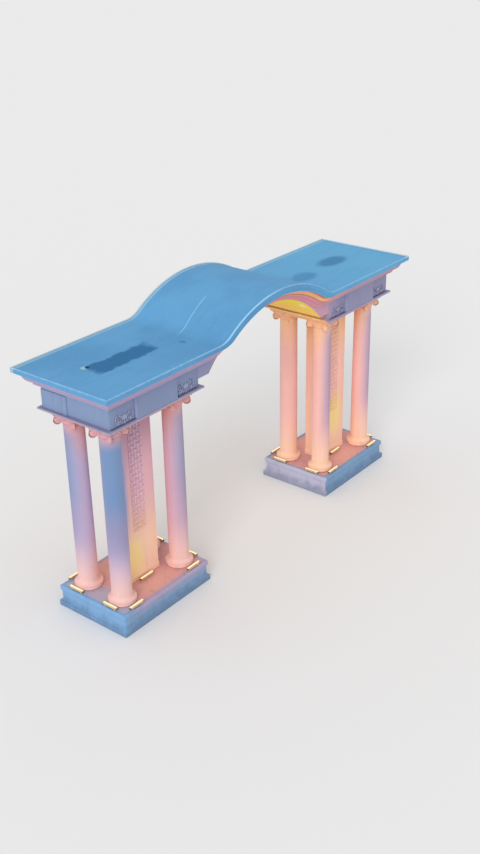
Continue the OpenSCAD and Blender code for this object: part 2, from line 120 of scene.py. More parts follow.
def camera():
    """A plain camera: yaw from +Y towards +X, pitch downwards, then roll."""
    ahead = Vector((math.sin(CAMERA_YAW), math.cos(CAMERA_YAW), 0))
    right = Vector((math.cos(CAMERA_YAW), -math.sin(CAMERA_YAW), 0))
    look = ahead * math.cos(CAMERA_PITCH) - UP * math.sin(CAMERA_PITCH)
    top = right.cross(look)
    turned = right * math.cos(CAMERA_ROLL) + top * math.sin(CAMERA_ROLL)
    upright = top * math.cos(CAMERA_ROLL) - right * math.sin(CAMERA_ROLL)
    data = bpy.data.cameras.new("camera")
    data.lens = CAMERA_LENS
    data.sensor_width = 36
    data.clip_end = 400
    holder = bpy.data.objects.new("camera", data)
    bpy.context.collection.objects.link(holder)
    holder.matrix_world = Matrix.LocRotScale(
        Vector(CAMERA_AT), Matrix((turned, upright, -look)).transposed(), None)
    bpy.context.scene.camera = holder


# Finishes


class Finish:
    """One procedural material on object coordinates, built up node by node. Where a number
    is asked for, "X" stands for that coordinate and "|X|" for its distance from nought."""

    def __init__(self, name, roughness, specular=0.3):
        self.material = bpy.data.materials.new(name)
        self.material.use_nodes = True
        self.nodes = self.material.node_tree.nodes
        self.links = self.material.node_tree.links
        self.shader = self.nodes["Principled BSDF"]
        self.shader.inputs["Roughness"].default_value = roughness
        self.shader.inputs["Specular IOR Level"].default_value = specular
        self.place = self.nodes.new("ShaderNodeTexCoord").outputs["Object"]
        self.axes = self.add("ShaderNodeSeparateXYZ", {0: self.place}).outputs
        self.relief = None

    def fill(self, socket, value):
        """Links a value that a node gives, and sets a constant on the socket itself."""
        if isinstance(value, str):
            axis = self.axes[value.strip("|")]
            value = self.maths("ABSOLUTE", axis) if "|" in value else axis
        if isinstance(value, bpy.types.NodeSocket):
            self.links.new(value, socket)
        else:
            socket.default_value = (*value, 1) if socket.type == "RGBA" else value

    def add(self, kind, inputs, **settings):
        node = self.nodes.new(kind)
        for key, value in settings.items():
            setattr(node, key, value)
        for key, value in inputs.items():
            self.fill(node.inputs[key], value)
        return node

    def noise(self, scale, detail, stretch=(1, 1, 1)):
        where = self.add("ShaderNodeMapping", {"Vector": self.place, "Scale": stretch})
        return self.add("ShaderNodeTexNoise", {
            "Vector": where.outputs[0], "Scale": scale, "Detail": detail, "Roughness": 0.55,
        }).outputs["Fac"]

    def level(self, value, low, high, bottom=0.0, top=1.0):
        """Rises smoothly from bottom to top while the value goes from low to high."""
        return self.add("ShaderNodeMapRange", {
            "Value": value, "From Min": low, "From Max": high, "To Min": bottom, "To Max": top,
        }, interpolation_type="SMOOTHSTEP").outputs[0]

    def maths(self, operation, first, second=0.0):
        return self.add("ShaderNodeMath", {0: first, 1: second}, operation=operation).outputs[0]

    def apart(self, value, middle):
        """How far a value lies from a middle one."""
        return self.maths("ABSOLUTE", self.maths("SUBTRACT", value, middle))

    def product(self, first, *others):
        for other in others:
            first = self.maths("MULTIPLY", first, other)
        return first

    def distance(self, centre, scale, folded):
        """Distance from a point, each axis in its own scale. Folded, the four quarters of
        the plan count as one."""
        where = self.place
        if folded:
            where = self.add("ShaderNodeVectorMath", {0: where}, operation="ABSOLUTE").outputs[0]
        local = self.add("ShaderNodeMapping", {
            "Vector": where, "Scale": scale, "Location": [-c * s for c, s in zip(centre, scale)]})
        return self.add("ShaderNodeVectorMath", {0: local.outputs[0]},
                        operation="LENGTH").outputs["Value"]

    def near(self, centre, size, inner, folded=False, ragged=0.0):
        """1 close to a point and 0 beyond the given reach on each axis. Inner is the share
        of the reach that stays 1."""
        away = self.distance(centre, [1 / s for s in size], folded)
        return self.level(self.maths("ADD", away, ragged), inner, 1, 1, 0)

    def from_line(self, x, z):
        """Distance from a line along Y through (x, z), with the left folded on the right."""
        return self.distance((x, 0, z), (1, 0, 1), folded=True)

    def oblong(self, centre, half, soft, ragged):
        """1 inside an oblong on the plan and 0 outside it, with soft ragged edges."""
        shares = []
        for name, middle, reach, fade in zip("XY", centre, half, soft):
            off = self.maths("ADD", self.apart(name, middle), ragged)
            shares.append(self.level(off, reach - fade, reach + fade, 1, 0))
        return self.product(*shares)

    def blend(self, share, under, over, mode="MIX"):
        return self.add("ShaderNodeMix", {0: share, 6: under, 7: over},
                        data_type="RGBA", blend_type=mode).outputs[2]

    def choose(self, share, first, second):
        return self.add("ShaderNodeMix", {"Factor": share, "A": first, "B": second}).outputs[0]

    def coats(self, colour, *coats):
        """Lays coats over a colour, each a share with its tone."""
        for share, over in coats:
            colour = self.blend(share, colour, over)
        return colour

    def bump(self, height, distance, strength=1.0):
        inputs = {"Height": height, "Distance": distance, "Strength": strength}
        if self.relief:
            inputs["Normal"] = self.relief
        self.relief = self.add("ShaderNodeBump", inputs).outputs[0]

    def done(self, colour):
        self.fill(self.shader.inputs["Base Color"], colour)
        if self.relief:
            self.links.new(self.relief, self.shader.inputs["Normal"])
        return self.material


def tone(red, green, blue):
    """A screen colour, 0 to 255, as the linear values that a socket takes."""
    return tuple(((c / 255 + 0.055) / 1.055) ** 2.4 for c in (red, green, blue))


# Where, in X, the left tower's colours give way to the right one's
SLOWLY, IN_PASSAGE = (-2, 3), (-1, 1)


def sided(f, left, right):
    """One colour on the left tower and another on the right one."""
    return f.blend(f.level("X", *SLOWLY), left, right)


def from_tower(f):
    """Distance along X from the middle of the nearer tower."""
    return f.apart("|X|", TOWER)


def outer_side(f):
    """Rises from 0 to 1 round each column, towards the side that takes painted skylight. On the
    left tower it rises away from the tower's middle, and on the right tower away from the passage."""
    right = f.level("X", -0.1, 0.1)
    along = f.maths("SUBTRACT", "|X|", TOWER)
    folded = f.maths("SUBTRACT", f.maths("ABSOLUTE", along), COLUMN_DX)
    centre = f.maths("MULTIPLY", f.maths("SIGN", along), COLUMN_DX)
    out = f.choose(right, folded, f.maths("SUBTRACT", along, centre))
    low = f.level("X", -0.1, 0.1, COLUMN_DY - 0.41, COLUMN_DY - 0.26)
    return f.level(f.maths("ADD", out, "|Y|"), low, COLUMN_DY + 0.36)


def column_tint(f):
    """Painted light on pale paint: pink lamp light, cooler with painted skylight outside on the
    left tower, and warmer with painted lamp light low down and under the ledge.
    """
    # Pink and lilac: painted lamp light on the pale paint
    inside = f.blend(f.level("X", -5.1, -4.0), tone(206, 182, 208), tone(224, 176, 188))
    inside = sided(f, inside, tone(246, 190, 182))
    # Painted warm lamp light under the ledge
    painted_lamp_glow = sided(f, tone(245, 171, 156), tone(255, 202, 158))
    # Share of painted skylight on each column's outer side
    painted_cool_light = f.product(outer_side(f), f.level("X", -5.4, -3.4, 1, 0.7), f.level("X", *SLOWLY, 1, 1.1),
                     f.level("Y", -0.4, 0.5, 1, 0.8), f.level("Z", 5.0, 5.5, 1, 0.25),
                     f.level("Z", 1.3, 2.9, 0.3, 1))
    # The painted skylight tone, bluer higher up
    painted_skylight = f.blend(f.level("Z", 2.7, 3.8), tone(148, 146, 182), tone(116, 145, 186))
    return f.coats(inside, (f.level("Z", 4.2, 5.5, 0, 0.8), painted_lamp_glow),
                   (painted_cool_light, sided(f, painted_skylight, tone(156, 146, 184))),
                   # Painted lamp light near the columns' feet, by the plinth's lamps
                   (f.level("Z", 0.7, 2.3, 0.9, 0),
                    sided(f, tone(246, 200, 188), tone(253, 208, 176))))


# Painted lamp light, golden, above the piers' lamps: x, z, height, and its share on the
# left and on the right
PIER_LAMP_LIGHT = ((4.74, 1.3, 0.95, 0.85, 0), (4.55, 1.95, 1.1, 0, 0.85))


def pier_tint(f):
    """Painted light: peach lamp light, mauve towards the left pier's top and orange towards the
    right one's, painted lilac shade beside the left pier's outer columns and painted golden
    lamp light above the lamps."""
    # Painted shade beside the left pier's outer columns
    lilac = f.product(f.level("X", -4.92, -4.78, 1, 0), f.level("Z", 1.9, 2.8),
                      f.level("Z", 4.2, 5.1, 1, 0.1))
    colour = f.coats(
        sided(f, tone(236, 186, 194), tone(255, 203, 186)),
        (f.level("Z", 3.5, 5.2), sided(f, tone(196, 156, 174), tone(255, 205, 158))),
        (f.level("Z", 1.6, 3.6, 1, 0), tone(255, 212, 184)), (lilac, tone(176, 184, 224)))
    # Painted golden lamp light above the lamps
    for x, z, tall, left, right in PIER_LAMP_LIGHT:
        painted_gold = f.near((x, PIER_Y, z), (0.55, 0.7, tall), 0.15, folded=True)
        share = f.product(painted_gold, f.level("X", *IN_PASSAGE, left, right))
        colour = f.blend(share, colour, tone(255, 230, 150))
    return colour


def ledge_tint(f):
    """Painted light: mauve, rose lamp light under the ledge, and warm lamp light by the passage
    except at its outer corners.
    """
    # Painted rose lamp light low down, mauve above
    low = f.blend(f.level("Z", CAPITAL_TOP, LEDGE_Z - 0.06), tone(214, 158, 152),
                  tone(164, 158, 186))
    # Painted warm lamp light by the passage
    margin = f.level("X", *IN_PASSAGE, 0.8, 1.02)
    inner = f.product(f.level("|X|", INNER_X + 0.05, INNER_X + 0.4, 0.9, 0),
                      f.level("|Y|", margin, f.maths("ADD", margin, 0.2), 1, 0))
    return f.blend(inner, low, tone(255, 190, 140))


def wall_tint(f):
    """Painted light on the friezes: slate blue as painted skylight, over a dark open joint,
    painted golden lamp light towards the passage, and mauve mouldings with painted rose lamp
    light near the arch. The tablets' ends are painted paler against their shade, and the right
    frieze's inner end is paler."""
    pale = f.product(f.level("X", INNER_X + 0.1, INNER_X + 0.6, 0.8, 0), f.level("X", 0, 1))
    # Slate blue: painted skylight on the friezes; paler at the right frieze's inner end
    slate = f.coats(tone(134, 156, 190), (f.level("X", -6.2, -5.7), tone(134, 146, 180)),
                    (f.level("X", -2, 3.5), tone(148, 147, 178)), (pale, tone(174, 160, 190)))
    colour = f.blend(f.level("Z", LEDGE_Z, LEDGE_Z + 0.012), ledge_tint(f), slate)
    end, half, face = TOWER + FRIEZE_L / 2, TABLET_W / 2, FRIEZE_D / 2
    joint = f.product(f.level("Z", LEDGE_Z + 0.008, LEDGE_Z + 0.018, 1, 0),
                      f.level("Z", LEDGE_Z - 0.004, LEDGE_Z), f.level("|Y|", 1.14, 1.2, 0.8, 0),
                      f.level("|X|", INNER_X + 0.02, INNER_X + 0.1),
                      f.level("|X|", end - 0.04, end - 0.01, 1, 0.3))
    # Painted golden lamp light towards the passage
    lit = f.product(f.level("|X|", INNER_X - 0.02, INNER_X + 0.03, 1, 0),
                    f.level("|Y|", 0.84, 1.0, 1, 0), f.level("Z", 6.2, 6.4, 1, 0))
    along = from_tower(f)
    # The tablets' sloping ends, painted paler against their shade
    slope = f.product(f.level(along, half - 0.045, half - 0.035),
                      f.level(along, half, half + 0.01, 1, 0),
                      f.level("|Y|", face, face + 0.01, 0, 0.6))
    # Mouldings: painted rose lamp light near the arch, and a cooler lilac on the left
    near_arch = f.level("|X|", HALF_SPAN + 0.1, HALF_SPAN + 1.2, 1, 0)
    mould = f.coats(tone(190, 158, 180), (near_arch, tone(222, 158, 164)),
                    (f.level("X", *IN_PASSAGE, 1, 0), tone(180, 162, 196)))
    return f.coats(colour, (joint, tone(70, 72, 98)), (lit, tone(255, 218, 140)),
                   (slope, tone(176, 190, 220)),
                   (f.level("Z", FRIEZE_TOP + 0.09, FRIEZE_TOP + 0.12), mould))


def neck_depth(f):
    """How far a point of the arch lies under the line of its swan-neck edge."""
    crown = f.maths("SUBTRACT", CROWN_R, f.from_line(0, CROWN_Z))
    sweep = f.maths("SUBTRACT", f.from_line(HALF_SPAN, EDGE_Z + SWEEP_R), SWEEP_R)
    slope = (EDGE_Z + SWEEP_R - CROWN_Z) / HALF_SPAN
    side = f.maths("SUBTRACT", f.maths("SUBTRACT", "Z", CROWN_Z), f.product("|X|", slope))
    return f.choose(f.level(side, -0.01, 0.01), sweep, crown)


def arch_tint(f):
    """Painted light: orange lamp light under the roof's edge, rose below a darker painted shadow
    line and mauve at the towers. The left end is cooler, a painted slate skylight under its
    cornice."""
    depth = neck_depth(f)
    painted_cool_light = f.blend(f.level(depth, 0.42, 0.52), tone(184, 160, 192), tone(150, 150, 184))
    # Painted lamp light, a painted shadow line under the band and painted skylight at the left end
    return f.coats(
        tone(208, 132, 118), (f.level(depth, 0.215, 0.23), tone(255, 188, 134)),
        (f.level(depth, 0.3, 0.33), tone(196, 122, 108)),
        (f.level(depth, 0.33, 0.36), tone(220, 152, 166)),
        (f.level(depth, 0.48, 0.62), tone(200, 156, 182)),
        (f.level("|X|", HALF_SPAN - 0.3, HALF_SPAN + 0.3), tone(206, 156, 172)),
        (f.level("X", -HALF_SPAN, 0.8 - HALF_SPAN, 1, 0), painted_cool_light))


# A bright spot of painted lamp light on the vault's underside, one on each side, and its reach
SPOT_X, SPOT_Y, SPOT_Z, SPOT_R = 2.02, -0.83, 6.45, 0.17


def vault_tint(f):
    """The arch's faces, with a golden underside of painted lamp light that has a bright spot
    of painted lamp light near each springing."""
    # Painted golden lamp light on the underside
    under = f.blend(f.level("|X|", 1.8, SPRING_X), tone(255, 232, 64), tone(255, 208, 108))
    for sx in (-1, 1):
        # A bright spot of painted lamp light near the springing
        spot = f.near((sx * SPOT_X, SPOT_Y, SPOT_Z), (SPOT_R, SPOT_R, SPOT_R), 0.2)
        under = f.blend(f.product(spot, 0.85), under, tone(255, 252, 216))
    face = f.level(f.from_line(0, VAULT_Z), VAULT_R + 0.001, VAULT_R + 0.005)
    return f.blend(face, under, arch_tint(f))


def plinth_tint(f):
    """Painted light: blue skylit sides, lilac towards the passage, and a top that is peach with
    painted lamp light between the lamps and grey lilac, without it, at the left tower's outer end."""
    half = size_of("left_plinth") / 2
    along = from_tower(f)
    top = f.product(f.level(along, half.x - 0.2, half.x - 0.09, 1, 0),
                    f.level("|Y|", half.y - 0.2, half.y - 0.09, 1, 0),
                    f.level("Z", PLINTH_TOP - 0.012, PLINTH_TOP - 0.004))
    # Painted lamp light on the top between the lamps
    warm = f.near((TOWER, 0.75, PLINTH_TOP), (1.4, 0.75, 1), 0.1, folded=True)
    peach = f.coats(tone(214, 162, 162), (warm, tone(231, 172, 160)),
                    (f.level("X", -5.6, -5.25, 0.9, 0), tone(182, 178, 198)))
    passage_x = TOWER - half.x
    passage = f.product(f.level("X", passage_x + 0.075, passage_x + 0.1, 1, 0), f.level("X", 0, 1))
    upper = f.product(f.level("Z", 0.2, PLINTH_TOP), f.level("X", -1, 0, 1, 0),
                      f.level("X", -6.1, -5.2, 0, 0.8))
    # Blue painted skylight on the sides, lilac towards the passage and high on the left tower
    return f.coats(tone(128, 172, 214), (f.level("X", -6.0, -5.85), tone(128, 162, 198)),
                   (passage, tone(188, 186, 210)), (upper, tone(186, 166, 192)), (top, peach))


def painted_render(name, tint, stain, streaks, splash=None, ground=None, lift=0.0):
    """Masonry paint on cement render: blotches, trowelled grain, a few hairline cracks and
    rain streaks. Splash gives the top of the dirt off the ground. For a carving, ground
    says how far out its sunk field lies, which is painted darker as shade, and lift how much
    paler its relief is, as a painted highlight. That painted contrast fades low down and to
    the right."""
    f = Finish(name, 0.72)
    colour = tint(f)
    blotch = f.level(f.noise(0.9, 5), 0.35, 0.68, 0, 0.3)
    colour = f.blend(blotch, colour, f.blend(1.0, colour, (0.86, 0.88, 0.93), "MULTIPLY"))
    if ground:
        # Painted shade in the carving's sunk field and a painted highlight on its relief
        sunk = f.level("|Y|", ground + 0.002, ground + 0.012, 1, 0)
        clear = f.product(f.level("Z", 2.1, 3.0, 0.1, 1), f.level("X", *SLOWLY, 1, 0.5))
        relief = f.blend(sunk, f.blend(lift, colour, (1, 0.92, 1)),
                         f.blend(1.0, colour, (0.84, 0.75, 0.94), "MULTIPLY"))
        colour = f.blend(clear, colour, relief)
    wander = f.add("ShaderNodeTexNoise", {"Vector": f.place, "Scale": 2.2}).outputs["Color"]
    wander = f.add("ShaderNodeVectorMath", {0: f.place, 1: wander}, operation="ADD")
    edge = f.add("ShaderNodeTexVoronoi", {"Vector": wander.outputs[0], "Scale": 0.8},
                 feature="DISTANCE_TO_EDGE").outputs["Distance"]
    crack = f.product(f.level(edge, 0.0, 0.004, 1, 0), f.level(f.noise(0.7, 1), 0.58, 0.66))
    runs = f.level(f.noise(5.5, 3, (1, 1, 0.06)), 0.52, 0.78, 0, streaks)
    specks = f.level(f.noise(38, 2), 0.66, 0.8, 0, 0.3)
    colour = f.coats(colour, (runs, stain), (specks, stain), (f.product(crack, 0.22), stain))
    if splash:
        ragged = f.maths("ADD", "Z", f.product(f.noise(3.5, 6), -0.5))
        colour = f.blend(f.level(ragged, splash - 0.4, splash - 0.05, 0.5, 0), colour, stain)
    f.bump(f.noise(7, 3), 0.006)
    f.bump(f.noise(160, 3), 0.0012)
    f.bump(f.maths("SUBTRACT", 1.0, crack), 0.003, 0.6)
    return f.done(colour)


# Marks on the roof. The long damp patch is an oblong: middle, half its size and the fade of
# its edges. The others are round: middle, reach and share. The scratch is a line that
# crosses x = 0 at SCRATCH_Y, and it fades over SCRATCH_END on both sides of SCRATCH_X.
LONG_DAMP = ((-4.46, -0.12), (0.99, 0.3), (0.14, 0.05))
DAMP = (((4.8, 0.06, ROOF_TOP), (0.8, 0.42, 1), 0.7),
        ((3.1, -0.12, ROOF_TOP), (0.62, 0.4, 1), 0.45),
        ((-2.82, -0.6, ROOF_TOP), (0.1, 0.15, 1), 0.5))
SCRATCH_SLOPE, SCRATCH_Y, SCRATCH_X, SCRATCH_END = 0.147, 0.193, -1.8, (0.5, 0.8)
MORTAR_AT = (-5.46, 0.19, ROOF_TOP)


def roof_coating():
    """Light blue waterproof coating: brushed laps, dust, damp patches, a pale scratch, a pale band
    of painted highlight along the back and a fillet of mortar beside the outlet."""
    f = Finish("roof_coating", 0.7, 0.12)
    ragged = f.product(f.maths("SUBTRACT", f.noise(3.2, 5), 0.5), 0.32)
    damp = f.oblong(*LONG_DAMP, ragged)
    for centre, size, share in DAMP:
        patch = f.product(f.near(centre, size, 0.5, ragged=ragged), share)
        damp = f.maths("MAXIMUM", patch, damp)
    off = f.apart(f.maths("SUBTRACT", "Y", f.product("X", SCRATCH_SLOPE)), SCRATCH_Y)
    scratch = f.product(f.level(off, 0.006, 0.022, 1, 0),
                        f.level(f.apart("X", SCRATCH_X), *SCRATCH_END, 0.75, 0))
    mortar = f.product(f.near(MORTAR_AT, (0.1, 0.12, 1), 0.5), 0.8)
    colour = f.coats(
        tone(98, 160, 206), (f.level(f.noise(0.55, 4), 0.35, 0.7), tone(90, 150, 197)),
        (f.level("X", 0.5, 5, 0, 0.7), tone(104, 174, 214)),
        (f.level(f.noise(14, 5), 0.56, 0.75, 0, 0.45), tone(118, 172, 210)),
        (f.level(f.noise(2.2, 5, (0.35, 3, 1)), 0.5, 0.72, 0, 0.25), tone(88, 142, 186)),
        (f.product(damp, 0.95), tone(44, 108, 154)), (scratch, tone(150, 200, 234)),
        # A pale band along the back: a painted highlight by the edge
        (f.level("Y", ROOF_Y - 0.14, ROOF_Y - 0.09, 0, 0.75), tone(160, 196, 214)),
        (mortar, tone(164, 205, 226)))
    f.bump(f.noise(9, 4), 0.004)
    f.bump(f.noise(220, 2), 0.0008)
    return f.done(colour)


def lip_coating():
    """The same coating on the raised edge, paler as a painted edge highlight over some wear, and
    paler still, as painted highlights, where the arch rises and at the back and right."""
    f = Finish("roof_edge_coating", 0.45)
    painted_arch_highlight = f.product(f.level("X", -2.7, -2.1), f.level("X", -0.7, 0.1, 1, 0))
    far = f.maths("MAXIMUM", f.level("Y", 1.4, 1.5), f.level("X", 6.2, 6.4))
    # Paler than the roof: a painted edge highlight over some wear
    colour = f.coats(tone(130, 184, 224), (f.level(f.noise(11, 4), 0.35, 0.7), tone(110, 168, 212)),
                     (painted_arch_highlight, tone(150, 204, 238)), (far, tone(172, 198, 214)))
    f.bump(f.noise(180, 2), 0.0008)
    return f.done(colour)


def plain(name, colour, roughness, metallic=0.0):
    """A moulded or painted surface with faint mottling and grain."""
    f = Finish(name, roughness)
    f.shader.inputs["Metallic"].default_value = metallic
    dull = tuple(c * 0.72 for c in colour)
    f.bump(f.noise(300, 2), 0.0003)
    return f.done(f.blend(f.level(f.noise(9, 5), 0.35, 0.75), colour, dull))


def lamp_glow(name, warm, strength):
    """Frosted lens, lit from behind by a warm strip."""
    f = Finish(name, 0.4)
    f.shader.inputs["Emission Color"].default_value = (*warm, 1)
    f.shader.inputs["Emission Strength"].default_value = strength
    return f.done(f.blend(f.noise(60, 2), (0.4, 0.3, 0.16), (0.5, 0.4, 0.24)))


# Finishes of pieces that differ from the rest of their slot
PIER_STAIN, WALL_STAIN = tone(164, 128, 136), tone(92, 98, 130)
# Carvings: painted shade in their sunk fields and a painted highlight on their relief
PIER_RELIEF = painted_render(
    "pier_carving", pier_tint, PIER_STAIN, 0.1, ground=PIER_Y, lift=0.34)
WALL_RELIEF = painted_render(
    "plaque_carving", wall_tint, WALL_STAIN, 0.1, ground=FRIEZE_D / 2, lift=0.14)
ARCH_PAINT = painted_render("arch_plaster", arch_tint, tone(140, 106, 122), 0.15)
VAULT_PAINT = painted_render("vault_plaster", vault_tint, tone(170, 120, 96), 0.1)
LIP_COAT = lip_coating()
FLOOD_GLOW = lamp_glow("floodlight_lens", (1.0, 0.66, 0.26), 12)

# The finish of each slot
FINISHES = {
    "plinth_plaster": painted_render(
        "plinth_plaster", plinth_tint, tone(84, 98, 122), 0.2, splash=0.2),
    "column_plaster": painted_render("column_plaster", column_tint, tone(150, 128, 150), 0.12),
    "pier_plaster": painted_render("pier_plaster", pier_tint, PIER_STAIN, 0.12),
    "entablature_plaster": painted_render("entablature_plaster", wall_tint, WALL_STAIN, 0.2),
    "roof_coating": roof_coating(),
    # A dark pipe, whose near black also paints the shade in its hole
    "outlet_pipe": plain("outlet_pipe", (0.035, 0.045, 0.06), 0.5),
    "lamp_body": plain("lamp_body", (0.72, 0.55, 0.34), 0.45, 0.2),
    "lamp_lens": lamp_glow("lamp_lens", (1.0, 0.66, 0.36), 1.15),
}


# Modelling by hand, with operators
MERGE_WITHIN = 1e-5
BEVEL_OVER = math.radians(32)
SMOOTH_UNDER = math.radians(35)


def pick(*objects):
    bpy.ops.object.select_all(action="DESELECT")
    for each in objects:
        each.select_set(True)
    bpy.context.view_layer.objects.active = objects[0]


def start(add, **settings):
    """Adds one primitive and opens it in edit mode, with all of it selected."""
    bpy.ops.object.select_all(action="DESELECT")
    add(**settings)
    piece = bpy.context.object
    bpy.ops.object.mode_set(mode="EDIT")
    return piece


def reopen(piece, action="SELECT"):
    """Opens a finished piece in edit mode, with all of it selected, or none of it."""
    pick(piece)
    bpy.ops.object.mode_set(mode="EDIT")
    bpy.ops.mesh.select_all(action=action)


def pull(by):
    bpy.ops.mesh.extrude_region_move(TRANSFORM_OT_translate={"value": by})


def close_up(piece):
    """Merges doubles, turns faces outwards, leaves edit mode and settles the object's place."""
    bpy.ops.mesh.select_all(action="SELECT")
    bpy.ops.mesh.remove_doubles(threshold=MERGE_WITHIN)
    bpy.ops.mesh.normals_make_consistent(inside=False)
    bpy.ops.object.mode_set(mode="OBJECT")
    return settle(piece)


def settle(piece):
    pick(piece)
    bpy.ops.object.transform_apply(location=True, rotation=True, scale=True)
    return piece


def rise(piece, middle, rows):
    """Pulls the selected face up through rows of (width, depth, height) and closes it."""
    for below, above in zip(rows, rows[1:]):
        pull((0, 0, above[2] - below[2]))
        bpy.ops.transform.resize(
            value=(above[0] / below[0], above[1] / below[1], 1),
            center_override=(middle[0], middle[1], above[2]))
    return close_up(piece)


def coursed(middle, size, rows):
    """A rectangular block run with a moulding: rows of (standing out, height)."""
    width, depth = size
    rows = [(width + 2 * out, depth + 2 * out, z) for out, z in rows]
    piece = start(bpy.ops.mesh.primitive_plane_add, size=1, location=(*middle, rows[0][2]))
    bpy.ops.transform.resize(value=(*rows[0][:2], 1), center_override=(*middle, rows[0][2]))
    return rise(piece, middle, rows)


def turned(middle, rows, sides):
    """A round piece turned to rows of (radius, height)."""
    piece = start(bpy.ops.mesh.primitive_circle_add, vertices=sides, radius=rows[0][0],
                  fill_type="NGON", location=(*middle, rows[0][1]))
    return rise(piece, middle, [(r, r, z) for r, z in rows])


def ball(middle, reach, segments, rings):
    """A ball stretched to its reach on each axis, still in edit mode."""
    piece = start(bpy.ops.mesh.primitive_uv_sphere_add, segments=segments, ring_count=rings,
                  radius=1, location=middle)
    bpy.ops.transform.resize(value=reach, center_override=middle)
    return piece


def block(low, high):
    """A box between two corners, still to be shaped or cut with."""
    piece = start(bpy.ops.mesh.primitive_cube_add, size=1, location=(low + high) / 2)
    bpy.ops.transform.resize(value=high - low, center_override=(low + high) / 2)
    return close_up(piece)


def traced(points):
    """A flat face traced from corner to corner, still in edit mode."""
    points = [Vector(p) for p in points]
    piece = start(bpy.ops.mesh.primitive_plane_add, size=0.01, location=points[0])
    bpy.ops.mesh.merge(type="CENTER")
    for here, there in zip(points, points[1:]):
        pull(there - here)
    bpy.ops.mesh.select_all(action="SELECT")
    bpy.ops.mesh.edge_face_add()
    return piece


def prism(outline, low, high):
    """A wall with the given (x, z) outline, from y = low to y = high."""
    piece = traced([(x, low, z) for x, z in outline])
    pull((0, high - low, 0))
    return close_up(piece)


def coil(middle, reach, rim, thick, shrink, quarters, turn=1, steps=9):
    """A spiral fillet in the XZ plane. It starts on top of the middle, rolls outwards in
    quarter turns about centres that step inwards, and ends near the eye."""
    head = middle + Vector((0, 0, reach - rim / 2))
    piece = start(bpy.ops.mesh.primitive_plane_add, size=1, location=head,
                  rotation=(0, math.pi / 2, 0))
    bpy.ops.transform.resize(value=(1, thick, rim), center_override=head)
    reach -= rim / 2
    centre = middle.copy()
    for quarter in range(quarters):
        bpy.ops.mesh.spin(steps=steps, angle=turn * math.pi / 2, center=centre, axis=(0, 1, 0))
        angle = math.pi / 2 - turn * (quarter + 1) * math.pi / 2
        centre += Vector((math.cos(angle), 0, math.sin(angle))) * reach * (1 - shrink)
        reach *= shrink
    return close_up(piece)


def rotated(piece, angle, axis, about=(0, 0, 0)):
    """Turns a finished mesh about an axis through a point."""
    centre = Matrix.Translation(Vector(about))
    piece.matrix_world = centre @ Matrix.Rotation(angle, 4, axis) @ centre.inverted()
    return settle(piece)


def moved(piece, by):
    piece.matrix_world = Matrix.Translation(Vector(by))
    return settle(piece)


def arc(start_at, end_at, swell, steps=8):
    """Points of an arc between two (out, height) points. It bulges to the left of the way
    by swell times the chord."""
    a, b = Vector(start_at), Vector(end_at)
    chord = b - a
    left = Vector((-chord.y, chord.x))
    radius = (0.25 + swell * swell) / (2 * abs(swell))
    to_centre = (swell - math.copysign(radius, swell)) * left
    centre = (a + b) / 2 + to_centre
    start_angle = math.atan2(*(a - centre).yx)
    sweep = math.atan2(*(b - centre).yx) - start_angle
    if sweep * swell > 0:
        sweep -= math.copysign(2 * math.pi, swell)
    reach = (a - centre).length
    angles = [start_angle + sweep * i / steps for i in range(steps + 1)]
    return [(centre.x + reach * math.cos(angle), centre.y + reach * math.sin(angle))
            for angle in angles]


def modify(piece, kind, **settings):
    pick(piece)
    added = piece.modifiers.new(kind.lower(), kind)
    for key, value in settings.items():
        setattr(added, key, value)
    bpy.ops.object.modifier_apply(modifier=added.name)
    return piece


def soften(piece, width, segments=2):
    return modify(piece, "BEVEL", width=width, segments=segments, limit_method="ANGLE",
                  angle_limit=BEVEL_OVER)


def cut(piece, cutter, keep="DIFFERENCE"):
    modify(piece, "BOOLEAN", operation=keep, object=cutter, solver="EXACT")
    bpy.data.objects.remove(cutter)
    return piece


def copy(piece, by=(0, 0, 0), turn=0.0, flip=(1, 1, 1), about=(0, 0, 0)):
    """A copy with its own mesh, flipped and turned about a point, then moved."""
    pick(piece)
    bpy.ops.object.duplicate(linked=False)
    twin = bpy.context.object
    centre = Matrix.Translation(Vector(about))
    twin.matrix_world = (Matrix.Translation(Vector(by)) @ centre @ Matrix.Rotation(turn, 4, "Z")
                         @ Matrix.Diagonal((*flip, 1)) @ centre.inverted() @ twin.matrix_world)
    settle(twin)
    if math.prod(flip) < 0:
        reopen(twin)
        bpy.ops.mesh.normals_make_consistent(inside=False)
        bpy.ops.object.mode_set(mode="OBJECT")
    return twin


def four_round(model, first=0.0):
    """Turns a model round the origin's Z axis into four, a quarter turn apart."""
    four = [copy(model, turn=first + quarter * math.pi / 2) for quarter in range(4)]
    bpy.data.objects.remove(model)
    return four


def join(pieces):
    pick(*pieces)
    if len(pieces) > 1:
        bpy.ops.object.join()
    return bpy.context.object


def show(piece, name, slot, *nodes, finish=None):
    """Names a finished piece, gives it its finish and hides the nodes it stands for."""
    piece.name = piece.data.name = name
    piece.data.materials.clear()
    piece.data.materials.append(finish or FINISHES[slot])
    pick(piece)
    bpy.ops.object.shade_smooth_by_angle(angle=SMOOTH_UNDER)
    modify(piece, "WEIGHTED_NORMAL", keep_sharp=True, mode="FACE_AREA")
    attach(piece, "root")
    if nodes:
        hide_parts(*nodes)
    return piece


# Plinths


